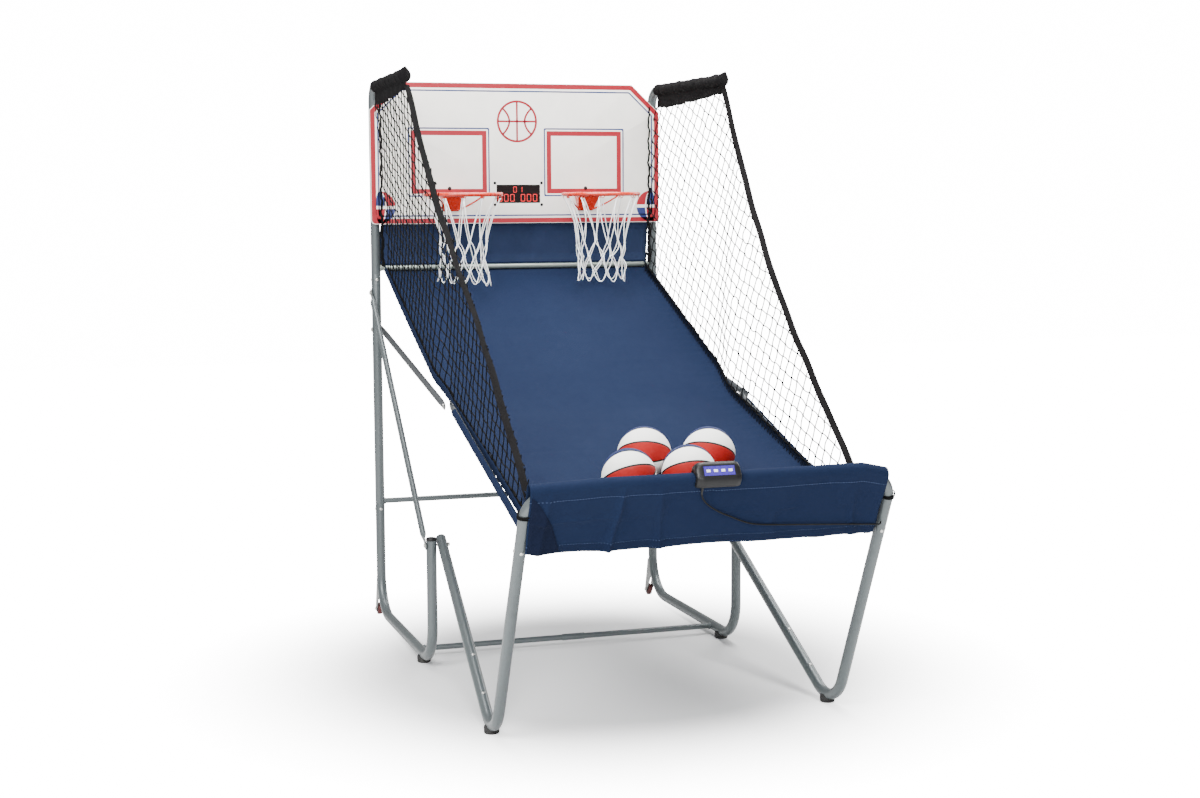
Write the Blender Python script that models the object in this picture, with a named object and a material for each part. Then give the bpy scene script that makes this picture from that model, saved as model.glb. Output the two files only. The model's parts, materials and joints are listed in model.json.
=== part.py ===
"""Folding two-hoop basketball game for the home, in metres, +Z up.

The player stands at -Y and faces the hoops.  The origin is the bottom centre of the bounding box.
Places along the depth are given as "reach": the distance forward of the posts, towards the player.
Left and right halves come from the same functions, with side = -1 on the left and +1 on the right.
"""

import math

import bmesh
import bpy
from mathutils import Matrix, Vector

# ---------------------------------------------------------------- driving dimensions
SIDES = (("left", -1), ("right", 1))
CLEARANCE = 0.0004          # gap between pieces that touch or seat on each other
BOLT_CLEARANCE = 0.0006     # radial gap round a pivot bolt

TUBE_D = 0.038              # main frame tube
TUBE_WALL = 0.0015
BAR_D = 0.022               # crossbars
BAR_WALL = 0.0012
BRACE_D = 0.023             # side braces, struts and rails
BRACE_WALL = 0.0012
FLAT_HALF_THICK = 0.002     # flattened tube ends
FLAT_HALF_WIDE = 0.0155
SPIGOT_LENGTH = 0.050       # swaged end of a tube, inside its neighbour
ROUND_SIDES = 12

POST_X = 0.600              # centre of the posts, left and right
POST_LOW_SEAM = 0.480
POST_HIGH_SEAM = 1.430
RUNNER_Z = 0.032            # centre of the tube that runs along the floor
RUNNER_REAR_BEND = 0.160
RUNNER_FRONT_BEND = 0.140
STUB_REACH = 0.970
STUB_TOP = 0.492

ARM_Z = 2.187
ARM_BEND = 0.070
ARM_REACH = 0.775
ARM_SPLAY = 0.028           # how far each arm's tip stands outside its post

FOLD_REACH = 0.970          # hinge of the front legs on the stubs
FOLD_Z = 0.472
LEG_GAP = 0.005             # between a leg's top and its stub
LEG_TOP_REACH = 0.936
LEG_TOP_Z = 0.491
LEG_CORNER_REACH = 1.8735   # where the two straight runs of a front leg would meet
LEG_CORNER_Z = -0.021
LEG_BEND = 0.130
TOP_BAR_REACH = 2.295
TOP_BAR_Z = 0.862
TOP_BEND = 0.100
TOP_BAR_SEAM = 0.060        # from the bend's end in to the top bar's seam
LOW_BAR_REACH = 2.203
LOW_BAR_Z = 0.670

UPPER_CROSSBAR_Z = 1.455
LOWER_CROSSBAR_Z = 0.490
FLOOR_BAR_REACH = 0.734

OUTER_BRACE_TOP_Z = 1.354
STRUT_PIVOT_Z = 1.203       # strut bolt on the post
FOLD_JOINT_REACH = 1.120    # centre hinge between strut and rail
FOLD_JOINT_Z = 1.000
RAIL_INSET = 0.024          # from the struts' plane in to the rails'

BOLT_R = 0.004
BOLT_HEAD_R = 0.0075
BOLT_HEAD_H = 0.005

BOARD_OVERHANG = 0.021      # past the posts' centres
BOARD_LOW = 1.634
BOARD_HIGH = 2.210
BOARD_CHAMFER_Z = 2.096
BOARD_CHAMFER = 0.121       # how far in the cut corners start along the top
BOARD_THICK = 0.012
BOARD_BACK = TUBE_D / 2 + 0.0007

SCORE_HALF_WIDE = 0.0935
SCORE_LOW = 1.718
SCORE_HIGH = 1.793
SCORE_RIM = 0.0095          # how far the case reaches past its window
SCORE_DEPTH = 0.035
SCORE_WALL = 0.0025

HOOP_X = 0.290
HOOP_REAR = 0.0975          # reach of the ring's rear
HOOP_Z = 1.752
HOOP_R = 0.1545
HOOP_ROD = 0.007
HOOP_BRACE_ROD = 0.0035

NET_LOW = 1.396
NET_SHOULDER = 0.0265       # how much narrower than the ring the net is, a hand's width down
NET_WAIST_ROOM = 0.014      # round a ball
NET_MOUTH_ROOM = 0.0165
NET_WALL = 0.0018

CLOTH = 0.0014
RAMP_KINK_REACH = 1.100
RAMP_KINK_Z = 0.985

TRAY_SIDE_GAP = 0.006       # from the tray's ends to the legs
TRAY_LOW = 0.672
TRAY_HIGH = 0.885
TRAY_CLOTH = 0.0018
GUSSET_INSET = 0.002
GUSSET_TOP = -0.072         # up the wall from the top bar, below the bend of the leg
GUSSET_LONG = 0.110
GUSSET_SHORT = 0.040

SLEEVE_START = 0.076
SLEEVE_WALL = 0.002
SLEEVE_DROP = 0.073
PANEL_HALF_THICK = 0.0006
PANEL_INSET = 0.0026        # from the rails' centres in to the nets

WHEEL_R = 0.025
WHEEL_HALF = 0.009
WHEEL_REACH = -0.055
AXLE_R = 0.004
BRACKET_HALF = 0.014
BRACKET_PLATE = 0.003

FOOT_R = 0.026
BASE_FOOT_REACH = 0.815
FOOT_HEIGHT = 0.026

BALL_R = 0.090
BALL_WALL = 0.0020          # at the corners of the coarser inner shell
VALVE_R = 0.002
BALLS = ((-0.169, 1.960), (-0.058, 1.790), (0.039, 1.953), (0.160, 1.815))   # across, reach
CORD_D = 0.005

CONTROL_X = -0.005
CONTROL_HALF = 0.0735
FACE_HALF_LONG = 0.050
FACE_HALF_WIDE = 0.015
FACE_THICK = 0.0015
FACE_LEDGE = 0.002
BUTTON_PITCH = 0.024
BUTTON_HALF_LONG = 0.006
BUTTON_HALF_WIDE = 0.004
BUTTON_PROUD = 0.0015
BUTTON_FLANGE = 0.0015
BUTTON_TRAVEL = 0.0012

TUBE_R = TUBE_D / 2
BAR_R = BAR_D / 2
BRACE_R = BRACE_D / 2
FLATS = math.cos(math.pi / ROUND_SIDES)     # a faceted tube's size across its flats, as a share
TUBE_FLAT = TUBE_R * FLATS
SPIGOT_R = (TUBE_R - TUBE_WALL) * FLATS - CLEARANCE

STRUT_X = POST_X - TUBE_R - CLEARANCE - FLAT_HALF_THICK
RAIL_X = STRUT_X - RAIL_INSET
PANEL_X = RAIL_X - PANEL_INSET
LEG_TOP_X = POST_X - TUBE_D - LEG_GAP
TOP_BAR_SEAM_X = POST_X - TOP_BEND - TOP_BAR_SEAM
BOARD_HALF = POST_X + BOARD_OVERHANG
BOARD_CHAMFER_X = BOARD_HALF - BOARD_CHAMFER
TRAY_HALF = POST_X - TUBE_R - TRAY_SIDE_GAP
GUSSET_X = TRAY_HALF - GUSSET_INSET
HOOP_REACH = HOOP_REAR + HOOP_R


# ---------------------------------------------------------------- the leaning front wall's frame
def wall_axes():
    """Unit vectors (reach, z): outward from the front wall, and up along it."""
    lean = math.atan2(TOP_BAR_REACH - LEG_CORNER_REACH, TOP_BAR_Z - LEG_CORNER_Z)
    return (math.cos(lean), -math.sin(lean)), (math.sin(lean), math.cos(lean))


WALL_OUT, WALL_UP = wall_axes()


def on_wall(out, up):
    """(reach, z) of a point given by its distances from the top bar's axis, outward and upward."""
    reach = TOP_BAR_REACH + out * WALL_OUT[0] + up * WALL_UP[0]
    return reach, TOP_BAR_Z + out * WALL_OUT[1] + up * WALL_UP[1]


WALL_INNER = TUBE_R + CLEARANCE
WALL_OUTER = WALL_INNER + TRAY_CLOTH
SADDLE = WALL_OUTER + CLEARANCE
SADDLE_TOP = (TRAY_HIGH - TOP_BAR_Z - WALL_OUTER * WALL_OUT[1]) / WALL_UP[1] + CLEARANCE
FACE_LOW = (SADDLE + 0.013, SADDLE_TOP + 0.008)
FACE_TOP = (SADDLE - 0.017, SADDLE_TOP + 0.032)
CONTROL_OUTLINE = (
    (SADDLE, 0.004), (SADDLE + 0.013, 0.004), (SADDLE + 0.020, 0.010), (SADDLE + 0.022, 0.020),
    (SADDLE + 0.020, SADDLE_TOP - 0.001), FACE_LOW, FACE_TOP, (-0.006, SADDLE_TOP + 0.034),
    (-0.018, SADDLE_TOP + 0.028), (-WALL_INNER - 0.006, SADDLE_TOP + 0.014),
    (-WALL_INNER - 0.007, SADDLE_TOP - 0.004), (-WALL_INNER - 0.007, -0.010),
    (-WALL_INNER, -0.010), (-WALL_INNER, SADDLE_TOP), (SADDLE, SADDLE_TOP),
)

FRONT_MOST = max(on_wall(*point)[0] for point in CONTROL_OUTLINE)
REAR_MOST = WHEEL_R - WHEEL_REACH
POST_Y = (FRONT_MOST - REAR_MOST) / 2


def place(x, reach, z):
    """World position of a point `reach` in front of the posts."""
    return Vector((x, POST_Y - reach, z))


# ---------------------------------------------------------------- scene helpers
def clear_scene():
    for obj in list(bpy.data.objects):
        bpy.data.objects.remove(obj, do_unlink=True)


def finish(name, color, roughness, metallic=0.0):
    """A Principled material in the piece's own colour."""
    material = bpy.data.materials.new(name)
    material.use_nodes = True
    shader = material.node_tree.nodes["Principled BSDF"]
    shader.inputs["Base Color"].default_value = (*color, 1.0)
    shader.inputs["Roughness"].default_value = roughness
    shader.inputs["Metallic"].default_value = metallic
    material.diffuse_color = (*color, 1.0)
    return material


def make_empty(name, position, parent=None):
    empty = bpy.data.objects.new(name, None)
    empty.empty_display_size = 0.05
    empty.location = position if parent is None else position - parent.location
    empty.parent = parent
    bpy.context.collection.objects.link(empty)
    return empty


def add_piece(name, bm, material, origin=None, parent=None, sharp_degrees=35):
    """Turns a bmesh in world coordinates into an object whose own origin is at `origin`."""
    origin = Vector((0, 0, 0)) if origin is None else origin
    bmesh.ops.recalc_face_normals(bm, faces=bm.faces)
    bm.transform(Matrix.Translation(-origin))
    mesh = bpy.data.meshes.new(name)
    bm.to_mesh(mesh)
    bm.free()
    mesh.shade_smooth()
    mesh.set_sharp_from_angle(angle=math.radians(sharp_degrees))
    if material is not None:
        mesh.materials.append(material)
    obj = bpy.data.objects.new(name, mesh)
    bpy.context.collection.objects.link(obj)
    obj.parent = parent
    obj.location = origin if parent is None else origin - world_origin(parent)
    return obj


def world_origin(obj):
    """World position of an unturned empty, summed up its chain of parents."""
    position = obj.location.copy()
    while obj.parent is not None:
        obj = obj.parent
        position += obj.location
    return position


def combine(obj, bm, operation):
    """Joins or cuts a bmesh in world coordinates with an object, by an exact Boolean."""
    other = add_piece(obj.name + "_" + operation.lower(), bm, None)
    other.hide_render = True
    other.display_type = "WIRE"
    modifier = obj.modifiers.new(operation.title(), "BOOLEAN")
    modifier.object = other
    modifier.operation = operation
    return other


def cut(obj, bm):
    return combine(obj, bm, "DIFFERENCE")


def join(obj, bm):
    return combine(obj, bm, "UNION")


# ---------------------------------------------------------------- shape helpers
def rounded_path(corners, radii, steps=5):
    """The corners' straight runs, with an arc of its own radius at each inner corner."""
    points = [corners[0]]
    for before, corner, after, radius in zip(corners, corners[1:], corners[2:], radii):
        back = (before - corner).normalized()
        ahead = (after - corner).normalized()
        half = back.angle(ahead) / 2
        turn = math.pi - 2 * half
        centre = corner + (back + ahead).normalized() * radius / math.sin(half)
        start = corner + back * radius / math.tan(half) - centre
        end = corner + ahead * radius / math.tan(half) - centre
        for step in range(steps + 1):
            share = step / steps
            arm = start * math.sin((1 - share) * turn) + end * math.sin(share * turn)
            points.append(centre + arm / math.sin(turn))
    points.append(corners[-1])
    return points


def section_frames(path, across):
    """At each point of the path, two unit vectors square to it, the first as near `across` as can be."""
    frames = []
    last = len(path) - 1
    for index in range(last + 1):
        ahead = path[min(index + 1, last)] - path[max(index - 1, 0)]
        if 0 < index < last:
            before = (path[index] - path[index - 1]).normalized()
            ahead = before + (path[index + 1] - path[index]).normalized()
        ahead.normalize()
        side = (across - ahead * across.dot(ahead)).normalized()
        frames.append((side, ahead.cross(side)))
    return frames


def sweep(path, sections, across=Vector((1, 0, 0)), wall=None, sides=ROUND_SIDES):
    """A round or oval section carried along a path: a hollow tube with a wall, a solid rod without.

    sections holds one (half width along `across`, half width square to it) for each point.
    """
    bm = bmesh.new()
    frames = section_frames(path, across)

    def loops(shrink):
        rings = []
        for point, (half_a, half_b), (side, other) in zip(path, sections, frames):
            ring = []
            for index in range(sides):
                angle = 2 * math.pi * (index + 0.5) / sides
                offset = side * (half_a - shrink) * math.cos(angle)
                offset = offset + other * (half_b - shrink) * math.sin(angle)
                ring.append(bm.verts.new(point + offset))
            rings.append(ring)
        return rings

    def skin(rings):
        for ring, following in zip(rings, rings[1:]):
            stitch(ring, following)

    def stitch(ring, following):
        for index in range(sides):
            after = (index + 1) % sides
            bm.faces.new((ring[index], ring[after], following[after], following[index]))

    outer = loops(0.0)
    skin(outer)
    if wall is None:
        bm.faces.new(outer[0])
        bm.faces.new(outer[-1])
        return bm
    inner = loops(wall)
    skin(inner)
    stitch(outer[0], inner[0])
    stitch(outer[-1], inner[-1])
    return bm


def tube(path, radius, wall, across=Vector((1, 0, 0))):
    return sweep(path, [(radius, radius)] * len(path), across, wall)


def rod(start, end, radius, sides=ROUND_SIDES):
    across = Vector((1, 0, 0)) if abs((end - start).normalized().x) < 0.9 else Vector((0, 0, 1))
    return sweep([start, end], [(radius, radius)] * 2, across, None, sides)


def spigot_tube(path, start_spigot, end_spigot=False):
    """A frame tube with a swaged end that slides into the next tube.  The path's ends are the seams."""
    thin = SPIGOT_R
    points = list(path)
    radii = [TUBE_R] * len(points)
    step = 0.002

    def add_end(points, radii):
        away = (points[0] - points[1]).normalized()
        seam = points[0]
        points[0] = seam - away * step
        points.insert(0, seam)
        points.insert(0, seam + away * SPIGOT_LENGTH)
        radii[:0] = [thin, thin]
        return points, radii

    if start_spigot:
        points, radii = add_end(points, radii)
    if end_spigot:
        points, radii = add_end(points[::-1], radii[::-1])
    return sweep(points, [(radius, radius) for radius in radii], wall=TUBE_WALL)


def flat_ended_tube(start, end, flat_start=True, flat_end=True):
    """A brace: round along its length and pressed flat at its bolted ends."""
    ahead = (end - start).normalized()
    length = (end - start).length
    overhang, flat, crimp = 0.014, 0.026, 0.055
    stations = []
    if flat_start:
        stations += [(-overhang, True), (flat, True), (crimp, False)]
    else:
        stations += [(0.0, False)]
    if flat_end:
        stations += [(length - crimp, False), (length - flat, True), (length + overhang, True)]
    else:
        stations += [(length, False)]
    points = [start + ahead * distance for distance, pressed in stations]
    flat_section = (FLAT_HALF_THICK, FLAT_HALF_WIDE)
    sections = [flat_section if pressed else (BRACE_R, BRACE_R) for distance, pressed in stations]
    return sweep(points, sections, wall=BRACE_WALL)


def box(low, high):
    bm = bmesh.new()
    bmesh.ops.create_cube(bm, size=1.0)
    size = Vector(high) - Vector(low)
    centre = (Vector(high) + Vector(low)) / 2
    bm.transform(Matrix.Translation(centre) @ Matrix.Diagonal((*size, 1.0)))
    return bm


def reach_box(x_low, x_high, reach_low, reach_high, z_low, z_high):
    return box(place(x_low, reach_high, z_low), place(x_high, reach_low, z_high))


def lathe(profile, centre, axis="Z", sides=24):
    """Turns (radius, along) points about an axis.  Points on the axis close the ends."""
    bm = bmesh.new()
    rings = []
    for radius, along in profile:
        if radius == 0:
            rings.append([bm.verts.new((0, 0, along))])
            continue
        angles = [2 * math.pi * index / sides for index in range(sides)]
        rings.append([bm.verts.new((radius * math.cos(a), radius * math.sin(a), along)) for a in angles])
    pairs = list(zip(rings, rings[1:]))
    if profile[0][0] > 0 and profile[-1][0] > 0:
        pairs.append((rings[-1], rings[0]))
    for ring, following in pairs:
        for index in range(sides):
            after = (index + 1) % sides
            corners = [ring[index % len(ring)], ring[after % len(ring)]]
            corners += [following[after % len(following)], following[index % len(following)]]
            bm.faces.new(list(dict.fromkeys(corners)))
    turn = Matrix.Rotation(math.pi / 2, 4, "Y") if axis == "X" else Matrix.Identity(4)
    bm.transform(Matrix.Translation(centre) @ turn)
    return bm


def side_prism(outline, x_low, x_high):
    """A (reach, z) outline pulled out along X."""
    bm = bmesh.new()
    base = bm.faces.new([bm.verts.new(place(x_low, reach, z)) for reach, z in outline])
    grown = bmesh.ops.extrude_face_region(bm, geom=[base])
    moved = [item for item in grown["geom"] if isinstance(item, bmesh.types.BMVert)]
    bmesh.ops.translate(bm, verts=moved, vec=(x_high - x_low, 0, 0))
    return bm


def front_prism(outline, reach_low, reach_high):
    """An (x, z) outline pulled out along the depth."""
    bm = bmesh.new()
    base = bm.faces.new([bm.verts.new(place(x, reach_high, z)) for x, z in outline])
    grown = bmesh.ops.extrude_face_region(bm, geom=[base])
    moved = [item for item in grown["geom"] if isinstance(item, bmesh.types.BMVert)]
    bmesh.ops.translate(bm, verts=moved, vec=(0, reach_high - reach_low, 0))
    return bm


def band(line, half_thick):
    """The closed outline of a strip that follows a line of (reach, z) points."""
    upper, lower = [], []
    last = len(line) - 1
    for index, (reach, z) in enumerate(line):
        behind = line[max(index - 1, 0)]
        ahead = line[min(index + 1, last)]
        along = Vector((ahead[0] - behind[0], ahead[1] - behind[1])).normalized()
        upper.append((reach - along.y * half_thick, z + along.x * half_thick))
        lower.append((reach + along.y * half_thick, z - along.x * half_thick))
    return upper + lower[::-1]


def hull(points):
    bm = bmesh.new()
    for point in points:
        bm.verts.new(point)
    result = bmesh.ops.convex_hull(bm, input=bm.verts)
    spare = result["geom_interior"] + result["geom_unused"]
    bmesh.ops.delete(bm, geom=[item for item in spare if isinstance(item, bmesh.types.BMVert)])
    return bm


# ---------------------------------------------------------------- finishes
def make_finishes():
    return {
        "frame": finish("grey_powder_coat", (0.36, 0.39, 0.40), 0.38, 0.35),
        "bar": finish("bright_zinc", (0.62, 0.63, 0.62), 0.30, 0.9),
        "dark_bar": finish("dark_grey_coat", (0.14, 0.15, 0.16), 0.4, 0.4),
        "zinc": finish("zinc_fastener", (0.66, 0.66, 0.64), 0.32, 1.0),
        "black": finish("black_plastic", (0.018, 0.018, 0.02), 0.45),
        "rubber": finish("black_rubber", (0.014, 0.014, 0.014), 0.75),
        "wheel": finish("red_wheel", (0.12, 0.02, 0.02), 0.5),
        "board": finish("white_board", (0.82, 0.80, 0.76), 0.45),
        "blue": finish("navy_cloth", (0.035, 0.085, 0.22), 0.85),
        "nylon": finish("black_nylon", (0.012, 0.012, 0.013), 0.8),
        "orange": finish("orange_enamel", (0.80, 0.10, 0.03), 0.32),
        "cord": finish("white_cord", (0.82, 0.82, 0.80), 0.8),
        "smoke": finish("smoked_lens", (0.02, 0.012, 0.012), 0.15),
        "circuit": finish("circuit_board", (0.02, 0.12, 0.05), 0.5),
        "face": finish("violet_face", (0.12, 0.08, 0.45), 0.35),
        "button": finish("white_button", (0.85, 0.85, 0.86), 0.4),
        "ball": finish("ball_rubber", (0.70, 0.05, 0.03), 0.55),
    }


# ---------------------------------------------------------------- fixed rear frame
def base_path(x):
    corners = [place(x, 0, POST_LOW_SEAM), place(x, 0, RUNNER_Z)]
    corners += [place(x, STUB_REACH, RUNNER_Z), place(x, STUB_REACH, STUB_TOP)]
    return rounded_path(corners, (RUNNER_REAR_BEND, RUNNER_FRONT_BEND))


def bolt_hole(x_low, x_high, reach, z):
    return rod(place(x_low, reach, z), place(x_high, reach, z), BOLT_R + BOLT_CLEARANCE)


def make_base(name, side, finishes):
    x = side * POST_X
    base = add_piece("base_tube_" + name, tube(base_path(x), TUBE_R, TUBE_WALL), finishes["frame"])
    cut(base, bolt_hole(x - 0.03, x + 0.03, FOLD_REACH, FOLD_Z))
    plug = SPIGOT_R
    top = STUB_TOP + CLEARANCE
    profile = ((0, top - 0.010), (plug, top - 0.010), (plug, top), (TUBE_R + 0.001, top))
    profile += ((TUBE_R + 0.001, top + 0.004), (TUBE_R - 0.003, top + 0.006), (0, top + 0.0065))
    cap = lathe(profile, place(x, STUB_REACH, 0), sides=16)
    add_piece("stub_cap_" + name, cap, finishes["black"])


def make_foot(name, path, centre, finishes, parent=None, origin=None):
    """A rubber cup that hugs the underside of a tube and stands on the floor."""
    profile = ((0, 0), (FOOT_R - 0.004, 0), (FOOT_R, 0.006), (FOOT_R, FOOT_HEIGHT - 0.003))
    profile += ((FOOT_R - 0.002, FOOT_HEIGHT), (0, FOOT_HEIGHT))
    bm = lathe(profile, centre, sides=16)
    foot = add_piece(name, bm, finishes["rubber"], origin, parent)
    cut(foot, parallel_tube(path, TUBE_R + CLEARANCE, None, Vector((1, 0, 0))))
    return foot


def make_post(name, side, finishes):
    x = side * POST_X
    path = [place(x, 0, POST_LOW_SEAM), place(x, 0, POST_HIGH_SEAM)]
    post = add_piece("post_tube_" + name, spigot_tube(path, True), finishes["frame"])
    cut(post, bolt_hole(x - 0.03, x + 0.03, 0, STRUT_PIVOT_Z))


def arm_tip(side):
    return place(side * (POST_X + ARM_SPLAY), ARM_REACH, ARM_Z)


def make_arm(name, side, finishes):
    x = side * POST_X
    corners = [place(x, 0, POST_HIGH_SEAM), place(x, 0, ARM_Z), arm_tip(side)]
    path = rounded_path(corners, (ARM_BEND,))
    add_piece("arm_tube_" + name, spigot_tube(path, True), finishes["frame"])


def make_outer_brace(name, side, finishes):
    x = side * (POST_X + TUBE_R + CLEARANCE + FLAT_HALF_THICK)
    start = place(x, 0, OUTER_BRACE_TOP_Z)
    end = place(x, FOLD_REACH, FOLD_Z)
    brace = add_piece("side_brace_" + name, flat_ended_tube(start, end), finishes["frame"])
    cut(brace, bolt_hole(x - 0.02, x + 0.02, FOLD_REACH, FOLD_Z))


def make_fold_bolt(name, side, finishes):
    """The bolt that carries a front leg on its stub, with its head outside and its nut inside."""
    head = POST_X + TUBE_R + 2 * FLAT_HALF_THICK + 3 * CLEARANCE
    nut = LEG_TOP_X - TUBE_R
    profile = ((0, nut - BOLT_HEAD_H), (BOLT_HEAD_R, nut - BOLT_HEAD_H), (BOLT_HEAD_R, nut))
    profile += ((BOLT_R, nut), (BOLT_R, head), (BOLT_HEAD_R, head))
    profile += ((BOLT_HEAD_R, head + BOLT_HEAD_H), (0, head + BOLT_HEAD_H))
    profile = tuple((radius, side * along) for radius, along in profile)
    bolt = lathe(profile, place(0, FOLD_REACH, FOLD_Z), "X", 12)
    add_piece("fold_bolt_" + name, bolt, finishes["zinc"])


def make_castor(name, side, finishes, wheel_parent):
    """A fork bolted to the rear bend of the base, with its axle, and the wheel that turns on it."""
    x = side * POST_X
    centre = (RUNNER_REAR_BEND, RUNNER_Z + RUNNER_REAR_BEND)
    seat = RUNNER_REAR_BEND + TUBE_FLAT + CLEARANCE
    angles = [math.radians(8 + 5 * index) for index in range(6)]
    outline = [(centre[0] - seat * math.cos(a), centre[1] - seat * math.sin(a)) for a in angles]
    lobe = 0.011
    for degrees in (-40, -90, -140, -200):
        turn = math.radians(degrees)
        outline.append((WHEEL_REACH + lobe * math.cos(turn), WHEEL_R + lobe * math.sin(turn)))
    outline.append((-0.030, outline[0][1]))
    fork = side_prism(outline, x - BRACKET_HALF, x + BRACKET_HALF)
    bracket = add_piece("castor_fork_" + name, fork, finishes["zinc"])
    slot = BRACKET_HALF - BRACKET_PLATE
    opening = ((-0.12, -0.02), (0.06, -0.02), (0.06, 0.060), (-0.022, 0.118), (-0.12, 0.100))
    cut(bracket, side_prism(opening, x - slot, x + slot))
    axle_end = BRACKET_HALF + 0.003
    axle = rod(place(x - axle_end, WHEEL_REACH, WHEEL_R), place(x + axle_end, WHEEL_REACH, WHEEL_R), AXLE_R)
    join(bracket, axle)
    bore = AXLE_R + CLEARANCE
    profile = ((bore, -WHEEL_HALF), (WHEEL_R - 0.003, -WHEEL_HALF), (WHEEL_R, -WHEEL_HALF + 0.003))
    profile += ((WHEEL_R, WHEEL_HALF - 0.003), (WHEEL_R - 0.003, WHEEL_HALF), (bore, WHEEL_HALF))
    hub = place(x, WHEEL_REACH, WHEEL_R)
    add_piece("castor_wheel_" + name, lathe(profile, hub, "X", 16), finishes["wheel"], hub, wheel_parent)


def make_crossbar(name, reach, z, material, origin=None, parent=None):
    half = POST_X - TUBE_FLAT - CLEARANCE
    path = [place(-half, reach, z), place(half, reach, z)]
    bm = tube(path, BAR_R, BAR_WALL, Vector((0, 0, 1)))
    return add_piece(name, bm, material, origin, parent)


# ---------------------------------------------------------------- board, scoreboard and hoops
def make_board(finishes):
    corner = 0.018
    right = [(BOARD_HALF - corner, BOARD_LOW), (BOARD_HALF, BOARD_LOW + corner)]
    right += [(BOARD_HALF, BOARD_CHAMFER_Z), (BOARD_CHAMFER_X, BOARD_HIGH)]
    outline = right + [(-x, z) for x, z in right[::-1]]
    board = front_prism(outline, BOARD_BACK, BOARD_BACK + BOARD_THICK)
    piece = add_piece("backboard", board, finishes["board"])
    half = SCORE_HALF_WIDE + CLEARANCE
    window = reach_box(-half, half, 0, 0.06, SCORE_LOW - CLEARANCE, SCORE_HIGH + CLEARANCE)
    cut(piece, window)


def make_scoreboard(finishes):
    front = BOARD_BACK + BOARD_THICK
    lens = reach_box(-SCORE_HALF_WIDE, SCORE_HALF_WIDE, front - 0.003, front + 0.001, SCORE_LOW, SCORE_HIGH)
    add_piece("score_lens", lens, finishes["smoke"])
    half = SCORE_HALF_WIDE + SCORE_RIM
    low = SCORE_LOW - SCORE_RIM
    high = SCORE_HIGH + SCORE_RIM
    mouth = BOARD_BACK - CLEARANCE
    rear = mouth - SCORE_DEPTH
    case = add_piece("score_case", reach_box(-half, half, rear, mouth, low, high), finishes["black"])
    inner = half - SCORE_WALL
    hollow = reach_box(-inner, inner, rear + SCORE_WALL, mouth + 0.01, low + SCORE_WALL, high - SCORE_WALL)
    cut(case, hollow)
    fit = inner - CLEARANCE
    bottom = low + SCORE_WALL + CLEARANCE
    top = high - SCORE_WALL - CLEARANCE
    circuit = reach_box(-fit, fit, mouth - 0.010, mouth - 0.0084, bottom, top)
    add_piece("score_circuit", circuit, finishes["circuit"])


def make_hoop(name, side, finishes):
    """Ring, hollow bracket and two stays, welded into one, with the ball sensor in the bracket."""
    x = side * HOOP_X
    front = BOARD_BACK + BOARD_THICK + CLEARANCE
    steps = 22
    angles = [2 * math.pi * index / steps for index in range(steps)]
    bm = bmesh.new()
    loops = []
    for angle in angles:
        out = Vector((math.sin(angle), math.cos(angle), 0))
        centre = place(x, HOOP_REACH, HOOP_Z) + out * HOOP_R
        spokes = [2 * math.pi * (index + 0.5) / 8 for index in range(8)]
        loops.append([bm.verts.new(centre + out * HOOP_ROD * math.cos(a)
                                   + Vector((0, 0, HOOP_ROD * math.sin(a)))) for a in spokes])
    for ring, following in zip(loops, loops[1:] + loops[:1]):
        for index in range(8):
            after = (index + 1) % 8
            bm.faces.new((ring[index], ring[after], following[after], following[index]))
    rim = add_piece("hoop_rim_" + name, bm, finishes["orange"])
    top = HOOP_Z + HOOP_ROD * 0.7
    wide, narrow, low = 0.0475, 0.0325, HOOP_Z - 0.067
    corners = []
    for half, reach, z in ((wide, front, top), (wide, HOOP_REAR, top), (wide, HOOP_REAR, HOOP_Z - 0.004),
                           (narrow, front, low), (narrow, front + 0.008, low)):
        corners += [place(x - half, reach, z), place(x + half, reach, z)]
    join(rim, hull(corners))
    for way in (-1, 1):
        turn = math.radians(46.8)
        grip = HOOP_R + 0.003
        start = place(x + way * 0.022, front + 0.006, low + 0.006)
        end = place(x + way * grip * math.sin(turn), HOOP_REACH - grip * math.cos(turn), HOOP_Z - 0.001)
        join(rim, rod(start, end, HOOP_BRACE_ROD, 8))
    pocket = (0.018, front + 0.028, HOOP_Z - 0.036, HOOP_Z - 0.006)
    cut(rim, reach_box(x - pocket[0], x + pocket[0], front - 0.01, pocket[1], pocket[2], pocket[3]))
    eye_z = (pocket[2] + pocket[3]) / 2
    cut(rim, rod(place(x, front + 0.02, eye_z), place(x, HOOP_REAR - 0.01, eye_z), 0.003, 8))
    half = pocket[0] - CLEARANCE
    sensor = reach_box(x - half, x + half, front, pocket[1] - 0.004, pocket[2] + CLEARANCE,
                       pocket[3] - CLEARANCE)
    add_piece("hoop_sensor_" + name, sensor, finishes["black"])


def make_hoop_net(name, side, finishes):
    """The net's outer shape as an open funnel that hangs from the ring and lets a ball drop through."""
    top = HOOP_Z - HOOP_ROD - CLEARANCE
    outer = ((HOOP_R, top), (HOOP_R - NET_SHOULDER, top - 0.10), (BALL_R + NET_WAIST_ROOM, 1.50),
             (BALL_R + NET_MOUTH_ROOM, NET_LOW))
    profile = outer + tuple((radius - NET_WALL, z) for radius, z in outer[::-1])
    net = lathe(profile, place(side * HOOP_X, HOOP_REACH, 0), sides=16)
    add_piece("hoop_net_" + name, net, finishes["cord"])


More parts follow.
